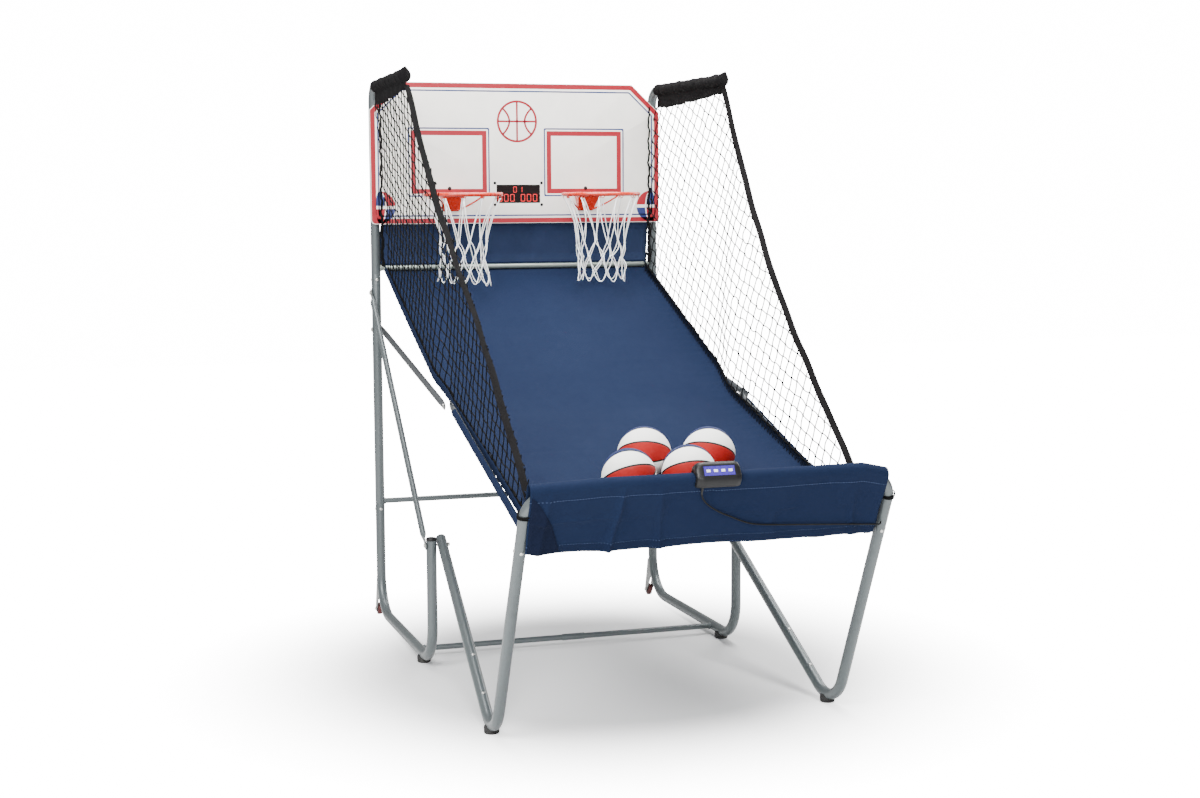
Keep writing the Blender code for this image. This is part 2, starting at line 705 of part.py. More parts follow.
# ---------------------------------------------------------------- cloth and netting
def ramp_line():
    """(reach, z) of the ramp cloth: under the upper crossbar, straight to the kink, over the low bar."""
    offset = BAR_R + CLEARANCE + CLOTH / 2
    first = math.atan2(UPPER_CROSSBAR_Z - RAMP_KINK_Z, RAMP_KINK_REACH)
    second = math.atan2(RAMP_KINK_Z - LOW_BAR_Z, LOW_BAR_REACH - RAMP_KINK_REACH)
    start = (-offset * math.sin(first), UPPER_CROSSBAR_Z - offset * math.cos(first))
    end = (LOW_BAR_REACH + offset * math.sin(second), LOW_BAR_Z + offset * math.cos(second))
    return [start, (RAMP_KINK_REACH, RAMP_KINK_Z), end]


def make_ramp(finishes):
    half = RAIL_X - BRACE_R - CLEARANCE
    ramp = side_prism(band(ramp_line(), CLOTH / 2), -half, half)
    add_piece("ramp_cloth", ramp, finishes["blue"])


def make_rear_cloth(finishes):
    """The cloth behind the upper crossbar, from the ramp's top edge up to the back of the board."""
    half = POST_X - TUBE_R - CLEARANCE
    behind = -BAR_R - CLEARANCE - CLOTH / 2
    bottom = (behind, ramp_line()[0][1] + CLOTH / 2 + 0.0012)
    top = (BOARD_BACK - CLEARANCE - CLOTH / 2, BOARD_LOW + 0.050)
    line = [bottom, (behind, UPPER_CROSSBAR_Z + BAR_R), (top[0], BOARD_LOW + 0.004), top]
    add_piece("rear_cloth", side_prism(band(line, CLOTH / 2), -half, half), finishes["blue"])


def make_tray(finishes, origin, parent):
    """The leaning front wall of the ball tray, with a folded gusset at each end."""
    low = (TRAY_LOW - TOP_BAR_Z - WALL_INNER * WALL_OUT[1]) / WALL_UP[1]
    high = SADDLE_TOP - CLEARANCE
    wall = [on_wall(WALL_INNER, low), on_wall(WALL_OUTER, low)]
    wall += [on_wall(WALL_OUTER, high), on_wall(WALL_INNER, high)]
    tray = add_piece("tray_wall", side_prism(wall, -TRAY_HALF, TRAY_HALF), finishes["blue"], origin, parent)
    middle = (WALL_INNER + WALL_OUTER) / 2
    for side in (-1, 1):
        bottom = on_wall(middle, low + 0.004)
        top = on_wall(middle, GUSSET_TOP)
        outline = [bottom, top, (top[0] - GUSSET_LONG, top[1] - 0.030)]
        outline.append((bottom[0] - GUSSET_SHORT, bottom[1] + 0.012))
        inner, outer = sorted((side * GUSSET_X, side * (GUSSET_X - TRAY_CLOTH)))
        join(tray, side_prism(outline, inner, outer))


def make_sleeve(name, side, finishes):
    """The black hem over an arm: a close tunnel round the tube and a doubled flap below it."""
    direction = (arm_tip(side) - place(side * POST_X, 0, ARM_Z)).normalized()
    start = place(side * POST_X, 0, ARM_Z) + direction * SLEEVE_START
    tip = arm_tip(side) + direction * 0.004
    round_out = TUBE_R + CLEARANCE + SLEEVE_WALL
    across = direction.cross(Vector((0, 0, 1))).normalized()
    half_flap = 0.002
    first = math.asin(half_flap / round_out) - math.pi / 2
    angles = [first + (2 * math.pi - 2 * (first + math.pi / 2)) * index / 12 for index in range(13)]
    outline = [(round_out * math.cos(a), round_out * math.sin(a)) for a in angles]
    outline += [(-half_flap, -SLEEVE_DROP), (half_flap, -SLEEVE_DROP)]
    bm = bmesh.new()
    base = bm.faces.new([bm.verts.new(start + across * a + Vector((0, 0, b))) for a, b in outline])
    grown = bmesh.ops.extrude_face_region(bm, geom=[base])
    moved = [item for item in grown["geom"] if isinstance(item, bmesh.types.BMVert)]
    bmesh.ops.translate(bm, verts=moved, vec=tip - start)
    sleeve = add_piece("net_sleeve_" + name, bm, finishes["nylon"])
    bore = TUBE_R + CLEARANCE
    cut(sleeve, sweep([start - direction * 0.02, arm_tip(side) + direction * CLEARANCE], [(bore, bore)] * 2))


def panel_point(side, along, up):
    """A point of a side net: along runs from the post (0) to the front strap (1), up from bottom to top."""
    kink = 0.5
    rear_low = Vector((PANEL_X, 0.037, 1.475))
    kink_low = Vector((PANEL_X, RAMP_KINK_REACH - 0.02, RAMP_KINK_Z + 0.060))
    front_low = Vector((PANEL_X, 2.160, 0.752))
    if along < kink:
        low = rear_low.lerp(kink_low, along / kink)
    else:
        low = kink_low.lerp(front_low, (along - kink) / (1 - kink))
    top_z = ARM_Z - SLEEVE_DROP - CLEARANCE
    reach = 0.037 + (ARM_REACH - 0.037) * along
    high_x = POST_X + ARM_SPLAY * reach / ARM_REACH
    sag = 0.045 * along * 4 * up * (1 - up)
    x = low.x + (high_x - low.x) * up * up
    return place(side * x, low.y + (reach - low.y) * up - sag, low.z + (top_z - low.z) * up)


def make_panel(name, side, finishes):
    """A side net as one thin sheet with its true outline."""
    bm = bmesh.new()
    columns, rows = 6, 6
    grids = []
    for offset in (-PANEL_HALF_THICK, PANEL_HALF_THICK):
        grid = []
        for column in range(columns + 1):
            points = [panel_point(side, column / columns, row / rows) for row in range(rows + 1)]
            grid.append([bm.verts.new(point + Vector((offset, 0, 0))) for point in points])
        grids.append(grid)
    for grid in grids:
        for column in range(columns):
            for row in range(rows):
                bm.faces.new((grid[column][row], grid[column + 1][row],
                              grid[column + 1][row + 1], grid[column][row + 1]))
    inner, outer = grids
    edge = [(column, 0) for column in range(columns)] + [(columns, row) for row in range(rows)]
    edge += [(columns - column, rows) for column in range(columns)] + [(0, rows - row) for row in range(rows)]
    for (c0, r0), (c1, r1) in zip(edge, edge[1:] + edge[:1]):
        bm.faces.new((inner[c0][r0], inner[c1][r1], outer[c1][r1], outer[c0][r0]))
    add_piece("side_net_" + name, bm, finishes["nylon"])


# ---------------------------------------------------------------- folding side struts and rails
def fold_joint(x):
    return place(x, FOLD_JOINT_REACH, FOLD_JOINT_Z)


def make_strut(name, side, finishes, parent):
    """The upper half of a side brace, with the bolt that turns in the post and the pin of the centre hinge."""
    x = side * STRUT_X
    pivot = place(x, 0, STRUT_PIVOT_Z)
    strut = add_piece("side_strut_" + name, flat_ended_tube(pivot, fold_joint(x)), finishes["dark_bar"],
                      pivot, parent)
    outside = POST_X + TUBE_R + CLEARANCE
    head = STRUT_X - FLAT_HALF_THICK
    profile = ((0, head - BOLT_HEAD_H), (BOLT_HEAD_R, head - BOLT_HEAD_H), (BOLT_HEAD_R, head + 0.0005))
    profile += ((BOLT_R, head + 0.0005), (BOLT_R, outside), (BOLT_HEAD_R, outside))
    profile += ((BOLT_HEAD_R, outside + BOLT_HEAD_H), (0, outside + BOLT_HEAD_H))
    profile = tuple((radius, side * along) for radius, along in profile)
    join(strut, lathe(profile, place(0, 0, STRUT_PIVOT_Z), "X", 10))
    inner_end = RAIL_X + BRACE_R + CLEARANCE
    pin = ((0, inner_end), (0.005, inner_end), (0.005, STRUT_X + FLAT_HALF_THICK + 0.003))
    pin += ((0, STRUT_X + FLAT_HALF_THICK + 0.003),)
    pin = tuple((radius, side * along) for radius, along in pin)
    join(strut, lathe(pin, fold_joint(0), "X", 10))


def make_rail(name, side, finishes, parent):
    """The lower half of a side brace, along the ramp's edge, with the eye that turns on the low bar."""
    x = side * RAIL_X
    pivot = place(x, LOW_BAR_REACH, LOW_BAR_Z)
    joint = fold_joint(x)
    ahead = (joint - pivot).normalized()
    eye_out = BAR_R + CLEARANCE + 0.0035
    start = pivot + ahead * (eye_out - 0.001)
    rail = add_piece("side_rail_" + name, flat_ended_tube(start, joint, flat_start=False),
                     finishes["dark_bar"], pivot, parent)
    half = 0.010
    bore = BAR_R + CLEARANCE
    profile = ((bore, -half), (eye_out, -half), (eye_out, half), (bore, half))
    join(rail, lathe(profile, pivot, "X", 16))


# ---------------------------------------------------------------- front frame
def leg_path(side):
    corners = [place(side * LEG_TOP_X, LEG_TOP_REACH, LEG_TOP_Z)]
    corners.append(place(side * POST_X, LEG_CORNER_REACH, LEG_CORNER_Z))
    corners.append(place(side * POST_X, TOP_BAR_REACH, TOP_BAR_Z))
    corners.append(place(side * TOP_BAR_SEAM_X, TOP_BAR_REACH, TOP_BAR_Z))
    return rounded_path(corners, (LEG_BEND, TOP_BEND), 6)


def parallel_tube(path, radius, wall, first_across):
    """A tube, or a rod without a wall, whose bends lie in different planes: the section turns with the path."""
    bm = bmesh.new()
    sides = ROUND_SIDES
    last = len(path) - 1
    side = first_across
    outer, inner = [], []
    for index, point in enumerate(path):
        ahead = (path[min(index + 1, last)] - path[max(index - 1, 0)]).normalized()
        side = (side - ahead * side.dot(ahead)).normalized()
        other = ahead.cross(side)
        for rings, size in ((outer, radius), (inner, radius - (wall or 0))):
            if rings is inner and wall is None:
                continue
            angles = [2 * math.pi * (step + 0.5) / sides for step in range(sides)]
            rings.append([bm.verts.new(point + (side * math.cos(a) + other * math.sin(a)) * size)
                          for a in angles])
    pairs = list(zip(outer, outer[1:])) + list(zip(inner, inner[1:]))
    if wall is None:
        bm.faces.new(outer[0])
        bm.faces.new(outer[-1])
    else:
        pairs += [(outer[0], inner[0]), (outer[-1], inner[-1])]
    for ring, following in pairs:
        for index in range(sides):
            after = (index + 1) % sides
            bm.faces.new((ring[index], ring[after], following[after], following[index]))
    return bm


def make_leg(name, side, finishes, origin, parent):
    path = leg_path(side)
    bm = parallel_tube(path, TUBE_R, TUBE_WALL, Vector((1, 0, 0)))
    leg = add_piece("leg_tube_" + name, bm, finishes["frame"], origin, parent)
    x = side * LEG_TOP_X
    cut(leg, bolt_hole(x - 0.03, x + 0.03, FOLD_REACH, FOLD_Z))
    lowest = min(path, key=lambda point: point.z)
    centre = Vector((lowest.x, lowest.y, 0))
    return make_foot("leg_foot_" + name, path, centre, finishes, parent, origin)


def make_top_bar(finishes, origin, parent):
    path = [place(-TOP_BAR_SEAM_X, TOP_BAR_REACH, TOP_BAR_Z), place(TOP_BAR_SEAM_X, TOP_BAR_REACH, TOP_BAR_Z)]
    thin = SPIGOT_R
    step = Vector((0.002, 0, 0))
    reach = Vector((SPIGOT_LENGTH, 0, 0))
    points = [path[0] - reach, path[0], path[0] + step, path[1] - step, path[1], path[1] + reach]
    radii = [thin, thin, TUBE_R, TUBE_R, thin, thin]
    bm = sweep(points, [(r, r) for r in radii], Vector((0, 0, 1)), TUBE_WALL)
    add_piece("front_top_bar", bm, finishes["frame"], origin, parent)


# ---------------------------------------------------------------- controller on the tray's edge
def face_matrix():
    """Frame of the controller's key strip: x along it, y up the slope, z out of the face."""
    low = on_wall(*FACE_LOW)
    top = on_wall(*FACE_TOP)
    up = (place(0, *top) - place(0, *low)).normalized()
    out = Vector((1, 0, 0)).cross(up)
    centre = (place(CONTROL_X, *top) + place(CONTROL_X, *low)) / 2
    matrix = Matrix((Vector((1, 0, 0)), up, out)).transposed().to_4x4()
    matrix.translation = centre
    return matrix


def face_box(x_low, x_high, y_low, y_high, z_low, z_high):
    bm = box((x_low, y_low, z_low), (x_high, y_high, z_high))
    bm.transform(face_matrix())
    return bm


def centred(x, half_x, half_y, z_low, z_high):
    return face_box(x - half_x, x + half_x, -half_y, half_y, z_low, z_high)


def gland_point(drop):
    out = SADDLE + 0.0065
    return place(CONTROL_X - 0.049, *on_wall(out, 0.004 - drop))


def make_controller(finishes, origin, parent):
    outline = [on_wall(*point) for point in CONTROL_OUTLINE]
    block = side_prism(outline, CONTROL_X - CONTROL_HALF, CONTROL_X + CONTROL_HALF)
    case = add_piece("control_case", block, finishes["black"], origin, parent)
    recess = FACE_THICK + CLEARANCE
    cut(case, centred(0, FACE_HALF_LONG + CLEARANCE, FACE_HALF_WIDE + CLEARANCE, -recess, 0.01))
    ledge_long = FACE_HALF_LONG - FACE_LEDGE
    ledge_wide = FACE_HALF_WIDE - FACE_LEDGE
    flange_top = -FACE_THICK - CLEARANCE
    flange_low = flange_top - BUTTON_FLANGE
    circuit_top = flange_low - BUTTON_TRAVEL - CLEARANCE
    circuit_low = circuit_top - 0.0016
    cut(case, centred(0, ledge_long, ledge_wide, circuit_low - CLEARANCE, 0.005))
    join(case, rod(gland_point(-0.002), gland_point(0.010), 0.0042, 10))
    face = centred(0, FACE_HALF_LONG, FACE_HALF_WIDE, -FACE_THICK, 0)
    face_piece = add_piece("control_face", face, finishes["face"], origin, parent)
    circuit = centred(0, ledge_long - CLEARANCE, ledge_wide - CLEARANCE, circuit_low, circuit_top)
    add_piece("control_circuit", circuit, finishes["circuit"], origin, parent)
    for index in range(4):
        x = (index - 1.5) * BUTTON_PITCH
        hole = centred(x, BUTTON_HALF_LONG + CLEARANCE, BUTTON_HALF_WIDE + CLEARANCE, -0.01, 0.01)
        cut(face_piece, hole)
        cap = centred(x, BUTTON_HALF_LONG, BUTTON_HALF_WIDE, flange_low, BUTTON_PROUD)
        button = add_piece("control_button_%d" % (index + 1), cap, finishes["button"],
                           face_matrix() @ Vector((x, 0, 0)), parent)
        join(button, centred(x, BUTTON_HALF_LONG + 0.0015, BUTTON_HALF_WIDE + 0.0015, flange_low, flange_top))


def smooth_route(points, spacing):
    """Points at even spacing on a smooth curve through the route's own points."""
    ends = [2 * points[0] - points[1]] + list(points) + [2 * points[-1] - points[-2]]
    fine = []
    for p0, p1, p2, p3 in zip(ends, ends[1:], ends[2:], ends[3:]):
        for step in range(24):
            t = step / 24
            fine.append(0.5 * (2 * p1 + (p2 - p0) * t + (2 * p0 - 5 * p1 + 4 * p2 - p3) * t * t
                               + (3 * p1 - p0 - 3 * p2 + p3) * t * t * t))
    fine.append(points[-1])
    kept = [fine[0]]
    for point in fine[1:]:
        if (point - kept[-1]).length >= spacing:
            kept.append(point)
    kept[-1] = fine[-1]
    return kept


# Across, outward from the wall's top bar axis, and up along the wall: down from the gland,
# over to the tray's hem, and along the hem into the right front leg.
CORD_ROUTE = (
    (-0.054, 0.0299, -0.018), (-0.050, 0.0300, -0.032), (-0.040, 0.0296, -0.048),
    (-0.022, 0.0288, -0.066), (0.000, 0.0280, -0.082), (0.028, 0.0276, -0.099),
    (0.060, 0.0272, -0.114), (0.095, 0.0270, -0.131), (0.130, 0.0270, -0.144),
    (0.170, 0.0270, -0.151), (0.220, 0.0270, -0.155), (0.300, 0.0270, -0.160),
    (0.380, 0.0270, -0.165), (0.460, 0.0270, -0.170), (0.530, 0.0270, -0.175),
    (0.558, 0.0272, -0.177), (0.573, 0.0278, -0.178), (0.5822, 0.0262, -0.178),
    (0.5868, 0.0214, -0.178), (0.5887, 0.0166, -0.178),
)


def cord_points():
    first = gland_point(0.010 + CLEARANCE)
    route = [first] + [place(x, *on_wall(out, up)) for x, out, up in CORD_ROUTE]
    return smooth_route(route, CORD_D * 2.5)


def make_cord(finishes, parent):
    curve = bpy.data.curves.new("control_cord", "CURVE")
    curve.dimensions = "3D"
    curve.bevel_depth = CORD_D / 2
    curve.bevel_resolution = 2
    curve.use_fill_caps = True
    curve.materials.append(finishes["nylon"])
    points = cord_points()
    spline = curve.splines.new("POLY")
    spline.points.add(len(points) - 1)
    for spot, point in zip(spline.points, points):
        spot.co = (*point, 1.0)
    cord = bpy.data.objects.new("control_cord", curve)
    cord.parent = parent
    cord.location = -world_origin(parent)
    bpy.context.collection.objects.link(cord)


# ---------------------------------------------------------------- balls
def ball_centre(x, reach):
    kink, end = ramp_line()[1:]
    slope = math.atan2(kink[1] - end[1], end[0] - kink[0])
    surface = kink[1] - (reach - kink[0]) * math.tan(slope)
    lift = (BALL_R + CLOTH / 2 + CLEARANCE) / math.cos(slope)
    return place(x, reach, surface + lift)


def make_ball(index, x, reach, finishes, parent):
    """A hollow rubber ball with its valve hole on the underside."""
    centre = ball_centre(x, reach)
    bm = bmesh.new()
    bmesh.ops.create_icosphere(bm, subdivisions=3, radius=BALL_R)
    bm.transform(Matrix.Translation(centre))
    ball = add_piece("ball_%d" % index, bm, finishes["ball"], centre, parent)
    inside = bmesh.new()
    bmesh.ops.create_icosphere(inside, subdivisions=2, radius=BALL_R - BALL_WALL)
    inside.transform(Matrix.Translation(centre))
    cut(ball, inside)
    below = Vector((0, 0, BALL_R))
    cut(ball, rod(centre - below * 1.1, centre - below * 0.5, VALVE_R, 6))


# ---------------------------------------------------------------- assembly
def build():
    clear_scene()
    finishes = make_finishes()
    hinge = place(0, FOLD_REACH, FOLD_Z)
    front_frame = make_empty("front_frame_axis", hinge)
    struts = make_empty("side_strut_axis", place(0, 0, STRUT_PIVOT_Z))
    rails = make_empty("side_rail_axis", place(0, LOW_BAR_REACH, LOW_BAR_Z), front_frame)
    wheels = make_empty("castor_axis", place(0, WHEEL_REACH, WHEEL_R))

    for name, side in SIDES:
        x = side * POST_X
        make_base(name, side, finishes)
        make_foot("base_foot_" + name, base_path(x), place(x, BASE_FOOT_REACH, 0), finishes)
        make_post(name, side, finishes)
        make_arm(name, side, finishes)
        make_outer_brace(name, side, finishes)
        make_fold_bolt(name, side, finishes)
        make_castor(name, side, finishes, wheels)
        make_hoop(name, side, finishes)
        make_hoop_net(name, side, finishes)
        make_sleeve(name, side, finishes)
        make_panel(name, side, finishes)
        make_strut(name, side, finishes, struts)
        make_leg(name, side, finishes, hinge, front_frame)
        make_rail(name, side, finishes, rails)

    make_crossbar("upper_crossbar", 0, UPPER_CROSSBAR_Z, finishes["bar"])
    make_crossbar("lower_crossbar", 0, LOWER_CROSSBAR_Z, finishes["frame"])
    make_crossbar("floor_bar", FLOOR_BAR_REACH, RUNNER_Z, finishes["frame"])
    make_crossbar("front_low_bar", LOW_BAR_REACH, LOW_BAR_Z, finishes["dark_bar"], hinge, front_frame)
    make_top_bar(finishes, hinge, front_frame)
    make_board(finishes)
    make_scoreboard(finishes)
    make_rear_cloth(finishes)
    make_ramp(finishes)
    make_tray(finishes, hinge, front_frame)
    make_controller(finishes, hinge, front_frame)
    make_cord(finishes, front_frame)
    for index, (x, reach) in enumerate(BALLS, 1):
        make_ball(index, x, reach, finishes, front_frame)


build()
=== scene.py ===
# %% [markdown]
# # A folding two-hoop basketball game
#
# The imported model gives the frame: where each tube, bolt and board is, and which body it moves with.
# This lesson dresses that frame. Each step says what the piece is on the real machine, how it could be
# made, and why one way was chosen. Lengths are in metres, +Z is up, and the player stands at -Y.

# %% Load the frame
import json
import math

import bmesh
import bpy
import numpy as np
from mathutils import Matrix, Vector

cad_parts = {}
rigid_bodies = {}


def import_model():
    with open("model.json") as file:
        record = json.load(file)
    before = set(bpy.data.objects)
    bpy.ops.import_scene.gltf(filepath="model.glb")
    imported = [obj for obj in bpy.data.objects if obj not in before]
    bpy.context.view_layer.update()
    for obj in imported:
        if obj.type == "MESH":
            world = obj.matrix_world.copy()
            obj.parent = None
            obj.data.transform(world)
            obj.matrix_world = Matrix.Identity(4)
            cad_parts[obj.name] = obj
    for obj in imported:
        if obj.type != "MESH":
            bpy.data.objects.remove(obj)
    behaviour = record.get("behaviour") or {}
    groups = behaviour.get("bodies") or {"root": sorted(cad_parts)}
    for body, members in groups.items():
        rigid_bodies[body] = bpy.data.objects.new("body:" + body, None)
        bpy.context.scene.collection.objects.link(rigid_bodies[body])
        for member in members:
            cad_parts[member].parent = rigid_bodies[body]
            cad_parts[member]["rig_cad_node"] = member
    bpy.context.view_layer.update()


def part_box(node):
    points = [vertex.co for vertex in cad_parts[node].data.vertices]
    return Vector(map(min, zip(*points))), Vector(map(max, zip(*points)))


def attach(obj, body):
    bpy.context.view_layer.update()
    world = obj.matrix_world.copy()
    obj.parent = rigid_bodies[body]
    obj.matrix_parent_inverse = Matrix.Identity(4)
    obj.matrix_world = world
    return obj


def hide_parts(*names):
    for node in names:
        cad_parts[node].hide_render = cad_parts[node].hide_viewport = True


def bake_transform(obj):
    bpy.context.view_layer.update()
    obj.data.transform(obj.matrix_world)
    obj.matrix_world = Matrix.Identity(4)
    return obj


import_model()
SIDES = (("left", -1), ("right", 1))
RANDOM = np.random.default_rng(7)

# %% [markdown]
# ## Where things are
#
# Depth is told as *reach*: the distance in front of the rear posts. It is how the machine is laid out,
# because everything hangs off those posts. The posts' own place comes from the frame, and so does every
# size that a node's box can tell. The few numbers that no box holds, such as where a bent leg would have
# its corner, are named here once.


# %% Places and driving sizes
def middle(node):
    """The middle of a node's box, as (x, y, z)."""
    low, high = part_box(node)
    return (np.array(low) + np.array(high)) / 2


POST_X, POST_Y = middle("post_tube_right")[:2]
TUBE_R = 0.019                 # frame tubes, 38 mm
BAR_R = 0.011                  # crossbars, 22 mm
BRACE_R = 0.0115               # side braces
GAP = 0.0004                   # what the frame leaves between pieces that touch
LOW_SEAM, HIGH_SEAM = 0.480, 1.430
RUNNER_Z, STUB_REACH, STUB_TOP = 0.032, 0.970, 0.492
TOP_BAR_HALF = 0.440                       # from its middle to the seams with the legs
ARM_Z, ARM_REACH, ARM_SPLAY = 2.187, 0.775, 0.028
LEG_TOP = (0.557, 0.936, 0.491)            # across, reach, height
LEG_CORNER = (1.8735, -0.021)              # reach, height
TOP_BAR = (POST_Y - middle("front_top_bar")[1], middle("front_top_bar")[2])
LOW_BAR = (POST_Y - middle("front_low_bar")[1], middle("front_low_bar")[2])
CROSSBAR_Z = middle("upper_crossbar")[2]
KINK = (1.100, 0.985)                      # where the ramp changes slope
HINGE = (1.120, 1.000)                     # middle hinge of the side braces
RAIL_X = 0.5546
HOOP_X, HOOP_REACH, HOOP_Z = 0.290, 0.252, 1.752
RING_R, ROD_R = 0.1545, 0.007
BOARD_LOW, BOARD_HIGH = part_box("backboard")[0].z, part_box("backboard")[1].z
BOARD_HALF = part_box("backboard")[1].x
BOARD_FRONT = POST_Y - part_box("backboard")[0].y


def place(x, reach, z):
    """A point or points in the frame's axes: y is the posts' own y less the reach."""
    return np.stack(np.broadcast_arrays(np.asarray(x, float), POST_Y - np.asarray(reach, float),
                                        np.asarray(z, float)), axis=-1)


print("posts at x = +/-%.3f, y = %.4f; board %.3f to %.3f" % (POST_X, POST_Y, BOARD_LOW, BOARD_HIGH))

# %% [markdown]
# ## The camera
#
# A product picture of something this deep is taken from a few metres away with a longish lens, a little
# to the left of the machine and a little above the middle. The camera comes first, so that every later
# look is judged from the same place.

# %% Camera
CAMERA_PLACE = place(-2.0614, 7.5757, 1.7140)
CAMERA_YAW, CAMERA_DIP, CAMERA_ROLL = math.radians(17.74), math.radians(5.99), -0.005576
LENS_MM = 55.93


def add_object(name, data):
    """A new object in the scene, at the origin."""
    obj = bpy.data.objects.new(name, data)
    bpy.context.scene.collection.objects.link(obj)
    return obj


def make_camera():
    """Forward is yaw then dip; right and up are square to it, then rolled about it by a small angle."""
    forward = Vector((math.sin(CAMERA_YAW) * math.cos(CAMERA_DIP),
                      math.cos(CAMERA_YAW) * math.cos(CAMERA_DIP), -math.sin(CAMERA_DIP)))
    right = forward.cross(Vector((0, 0, 1))).normalized()
    up = right.cross(forward)
    rolled = right * math.cos(CAMERA_ROLL) + up * math.sin(CAMERA_ROLL)
    rolled_up = up * math.cos(CAMERA_ROLL) - right * math.sin(CAMERA_ROLL)
    turn = Matrix((rolled, rolled_up, -forward)).transposed().to_4x4()
    data = bpy.data.cameras.new("camera")
    data.lens = LENS_MM
    data.sensor_width = 36.0
    data.clip_end = 100.0
    camera = add_object("camera", data)
    camera.matrix_world = Matrix.Translation(CAMERA_PLACE) @ turn
    bpy.context.scene.camera = camera


make_camera()
print("camera at", np.round(CAMERA_PLACE, 3))

# %% [markdown]
# ## Meshes from arrays
#
# Nearly every piece is one of a few surfaces: a section carried along a path, a profile turned about an
# axis, a flat outline with a thickness, or a sheet. Each is worked out as whole numpy arrays, a grid of
# points that two numbers walk over, and the grid's cells become the faces.


# %% Mesh helpers
def mesh_of(name, points, faces):
    """A mesh from an (n, 3) array of points and a list of (m, k) arrays of corner numbers."""
    mesh = bpy.data.meshes.new(name)
    points = np.asarray(points, np.float32)
    corners = np.concatenate([np.asarray(f, np.int32).ravel() for f in faces])
    sizes = np.concatenate([np.full(len(f), np.shape(f)[1]) for f in faces])
    starts = np.concatenate([[0], np.cumsum(sizes)[:-1]]).astype(np.int32)
    mesh.vertices.add(len(points))
    mesh.vertices.foreach_set("co", points.ravel())
    mesh.loops.add(len(corners))
    mesh.loops.foreach_set("vertex_index", corners)
    mesh.polygons.add(len(sizes))
    mesh.polygons.foreach_set("loop_start", starts)
    mesh.update(calc_edges=True)
    mesh.validate()
    return mesh


def grid_cells(rows, columns, around=False):
    """Corner numbers of the cells of a rows x columns grid; around joins the last column to the first."""
    r, c = np.meshgrid(np.arange(rows - 1) * columns, np.arange(columns if around else columns - 1),
                       indexing="ij")
    after = (c + 1) % columns
    return np.stack([r + c, r + after, r + columns + after, r + columns + c], -1).reshape(-1, 4)


def end_caps(rows, columns):
    """The flat ends of a tube made of `rows` rings: the first ring turned round, and the last."""
    ring = np.arange(columns)
    return np.stack([ring[::-1], (rows - 1) * columns + ring])


def gather(parts):
    """Joins (points, faces) pairs into one, so that many small shapes make one mesh."""
    points, faces, first = [], [], 0
    for part_points, part_faces in parts:
        points.append(np.asarray(part_points, float).reshape(-1, 3))
        faces += [np.asarray(f) + first for f in part_faces]
        first += len(points[-1])
    return np.concatenate(points), faces


def piece(name, shape, material, body=None, stands_for=(), sharp=35.0, flat=None):
    """Makes an object from (points, faces), turns its faces out, smooths it, and rides it on a body."""
    mesh = mesh_of(name, *shape)
    obj = add_object(name, mesh)
    if flat is None:
        face_out(mesh)
    else:
        lay_map(mesh, flat)
    mesh.shade_smooth()
    mesh.set_sharp_from_angle(angle=math.radians(sharp))
    mesh.materials.append(material)
    if stands_for:
        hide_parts(*([stands_for] if isinstance(stands_for, str) else stands_for))
    if body:
        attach(obj, body)
    return obj


def lay_map(mesh, flat):
    """Gives each corner of the mesh its point's place on the flat cloth, in metres."""
    spots = np.empty(len(mesh.loops), np.int32)
    mesh.loops.foreach_get("vertex_index", spots)
    flat = np.asarray(flat, np.float32)[spots]
    mesh.uv_layers.new(name="flat_cloth").data.foreach_set("uv", flat.ravel())


def face_out(mesh):
    """Turns each closed shell's faces outwards."""
    bm = bmesh.new()
    bm.from_mesh(mesh)
    bmesh.ops.recalc_face_normals(bm, faces=bm.faces)
    bm.to_mesh(mesh)
    bm.free()


def unit(vectors):
    """The same directions at length 1."""
    return vectors / np.linalg.norm(vectors, axis=-1, keepdims=True)


def walked_along(path):
    """How far each point of a path is from its start, along the path."""
    return np.concatenate([[0], np.cumsum(np.linalg.norm(np.diff(path, axis=0), axis=1))])


def frames_along(path, reference):
    """Unit tangent, side and other at each point of a path: each side is the one before it less its part
    along the new tangent, so a section carried along the path doesn't spin."""
    steps = unit(np.diff(path, axis=0))
    tangent = unit(np.vstack([steps[:1], steps[:-1] + steps[1:], steps[-1:]]))
    side = np.asarray(reference, float)
    if abs(unit(side) @ tangent[0]) > 0.99:
        side = np.roll(side, 1)
    sides = []
    for ahead in tangent:
        side = unit(side - ahead * (ahead @ side))
        sides.append(side)
    return tangent, np.array(sides), np.cross(tangent, sides)


def swept(path, half_a, half_b=None, reference=(1, 0, 0), sides=24, twist=0.0):
    """An oval carried along a path: centre + side * a cos(t) + other * b sin(t), with a flat cap at each
    end.  The twist turns side and other about the path, by one angle or one for each point."""
    path = np.asarray(path, float)
    half_a = np.broadcast_to(half_a, len(path))[:, None, None]
    half_b = half_a if half_b is None else np.broadcast_to(half_b, len(path))[:, None, None]
    turn = np.linspace(0, 2 * np.pi, sides, endpoint=False)[None, :, None]
    tangent, side, other = frames_along(path, reference)
    lean = np.broadcast_to(twist, len(path))[:, None]
    side, other = side * np.cos(lean) + other * np.sin(lean), other * np.cos(lean) - side * np.sin(lean)
    rings = path[:, None] + side[:, None] * half_a * np.cos(turn) + other[:, None] * half_b * np.sin(turn)
    return rings.reshape(-1, 3), [grid_cells(len(path), sides, around=True), end_caps(len(path), sides)]


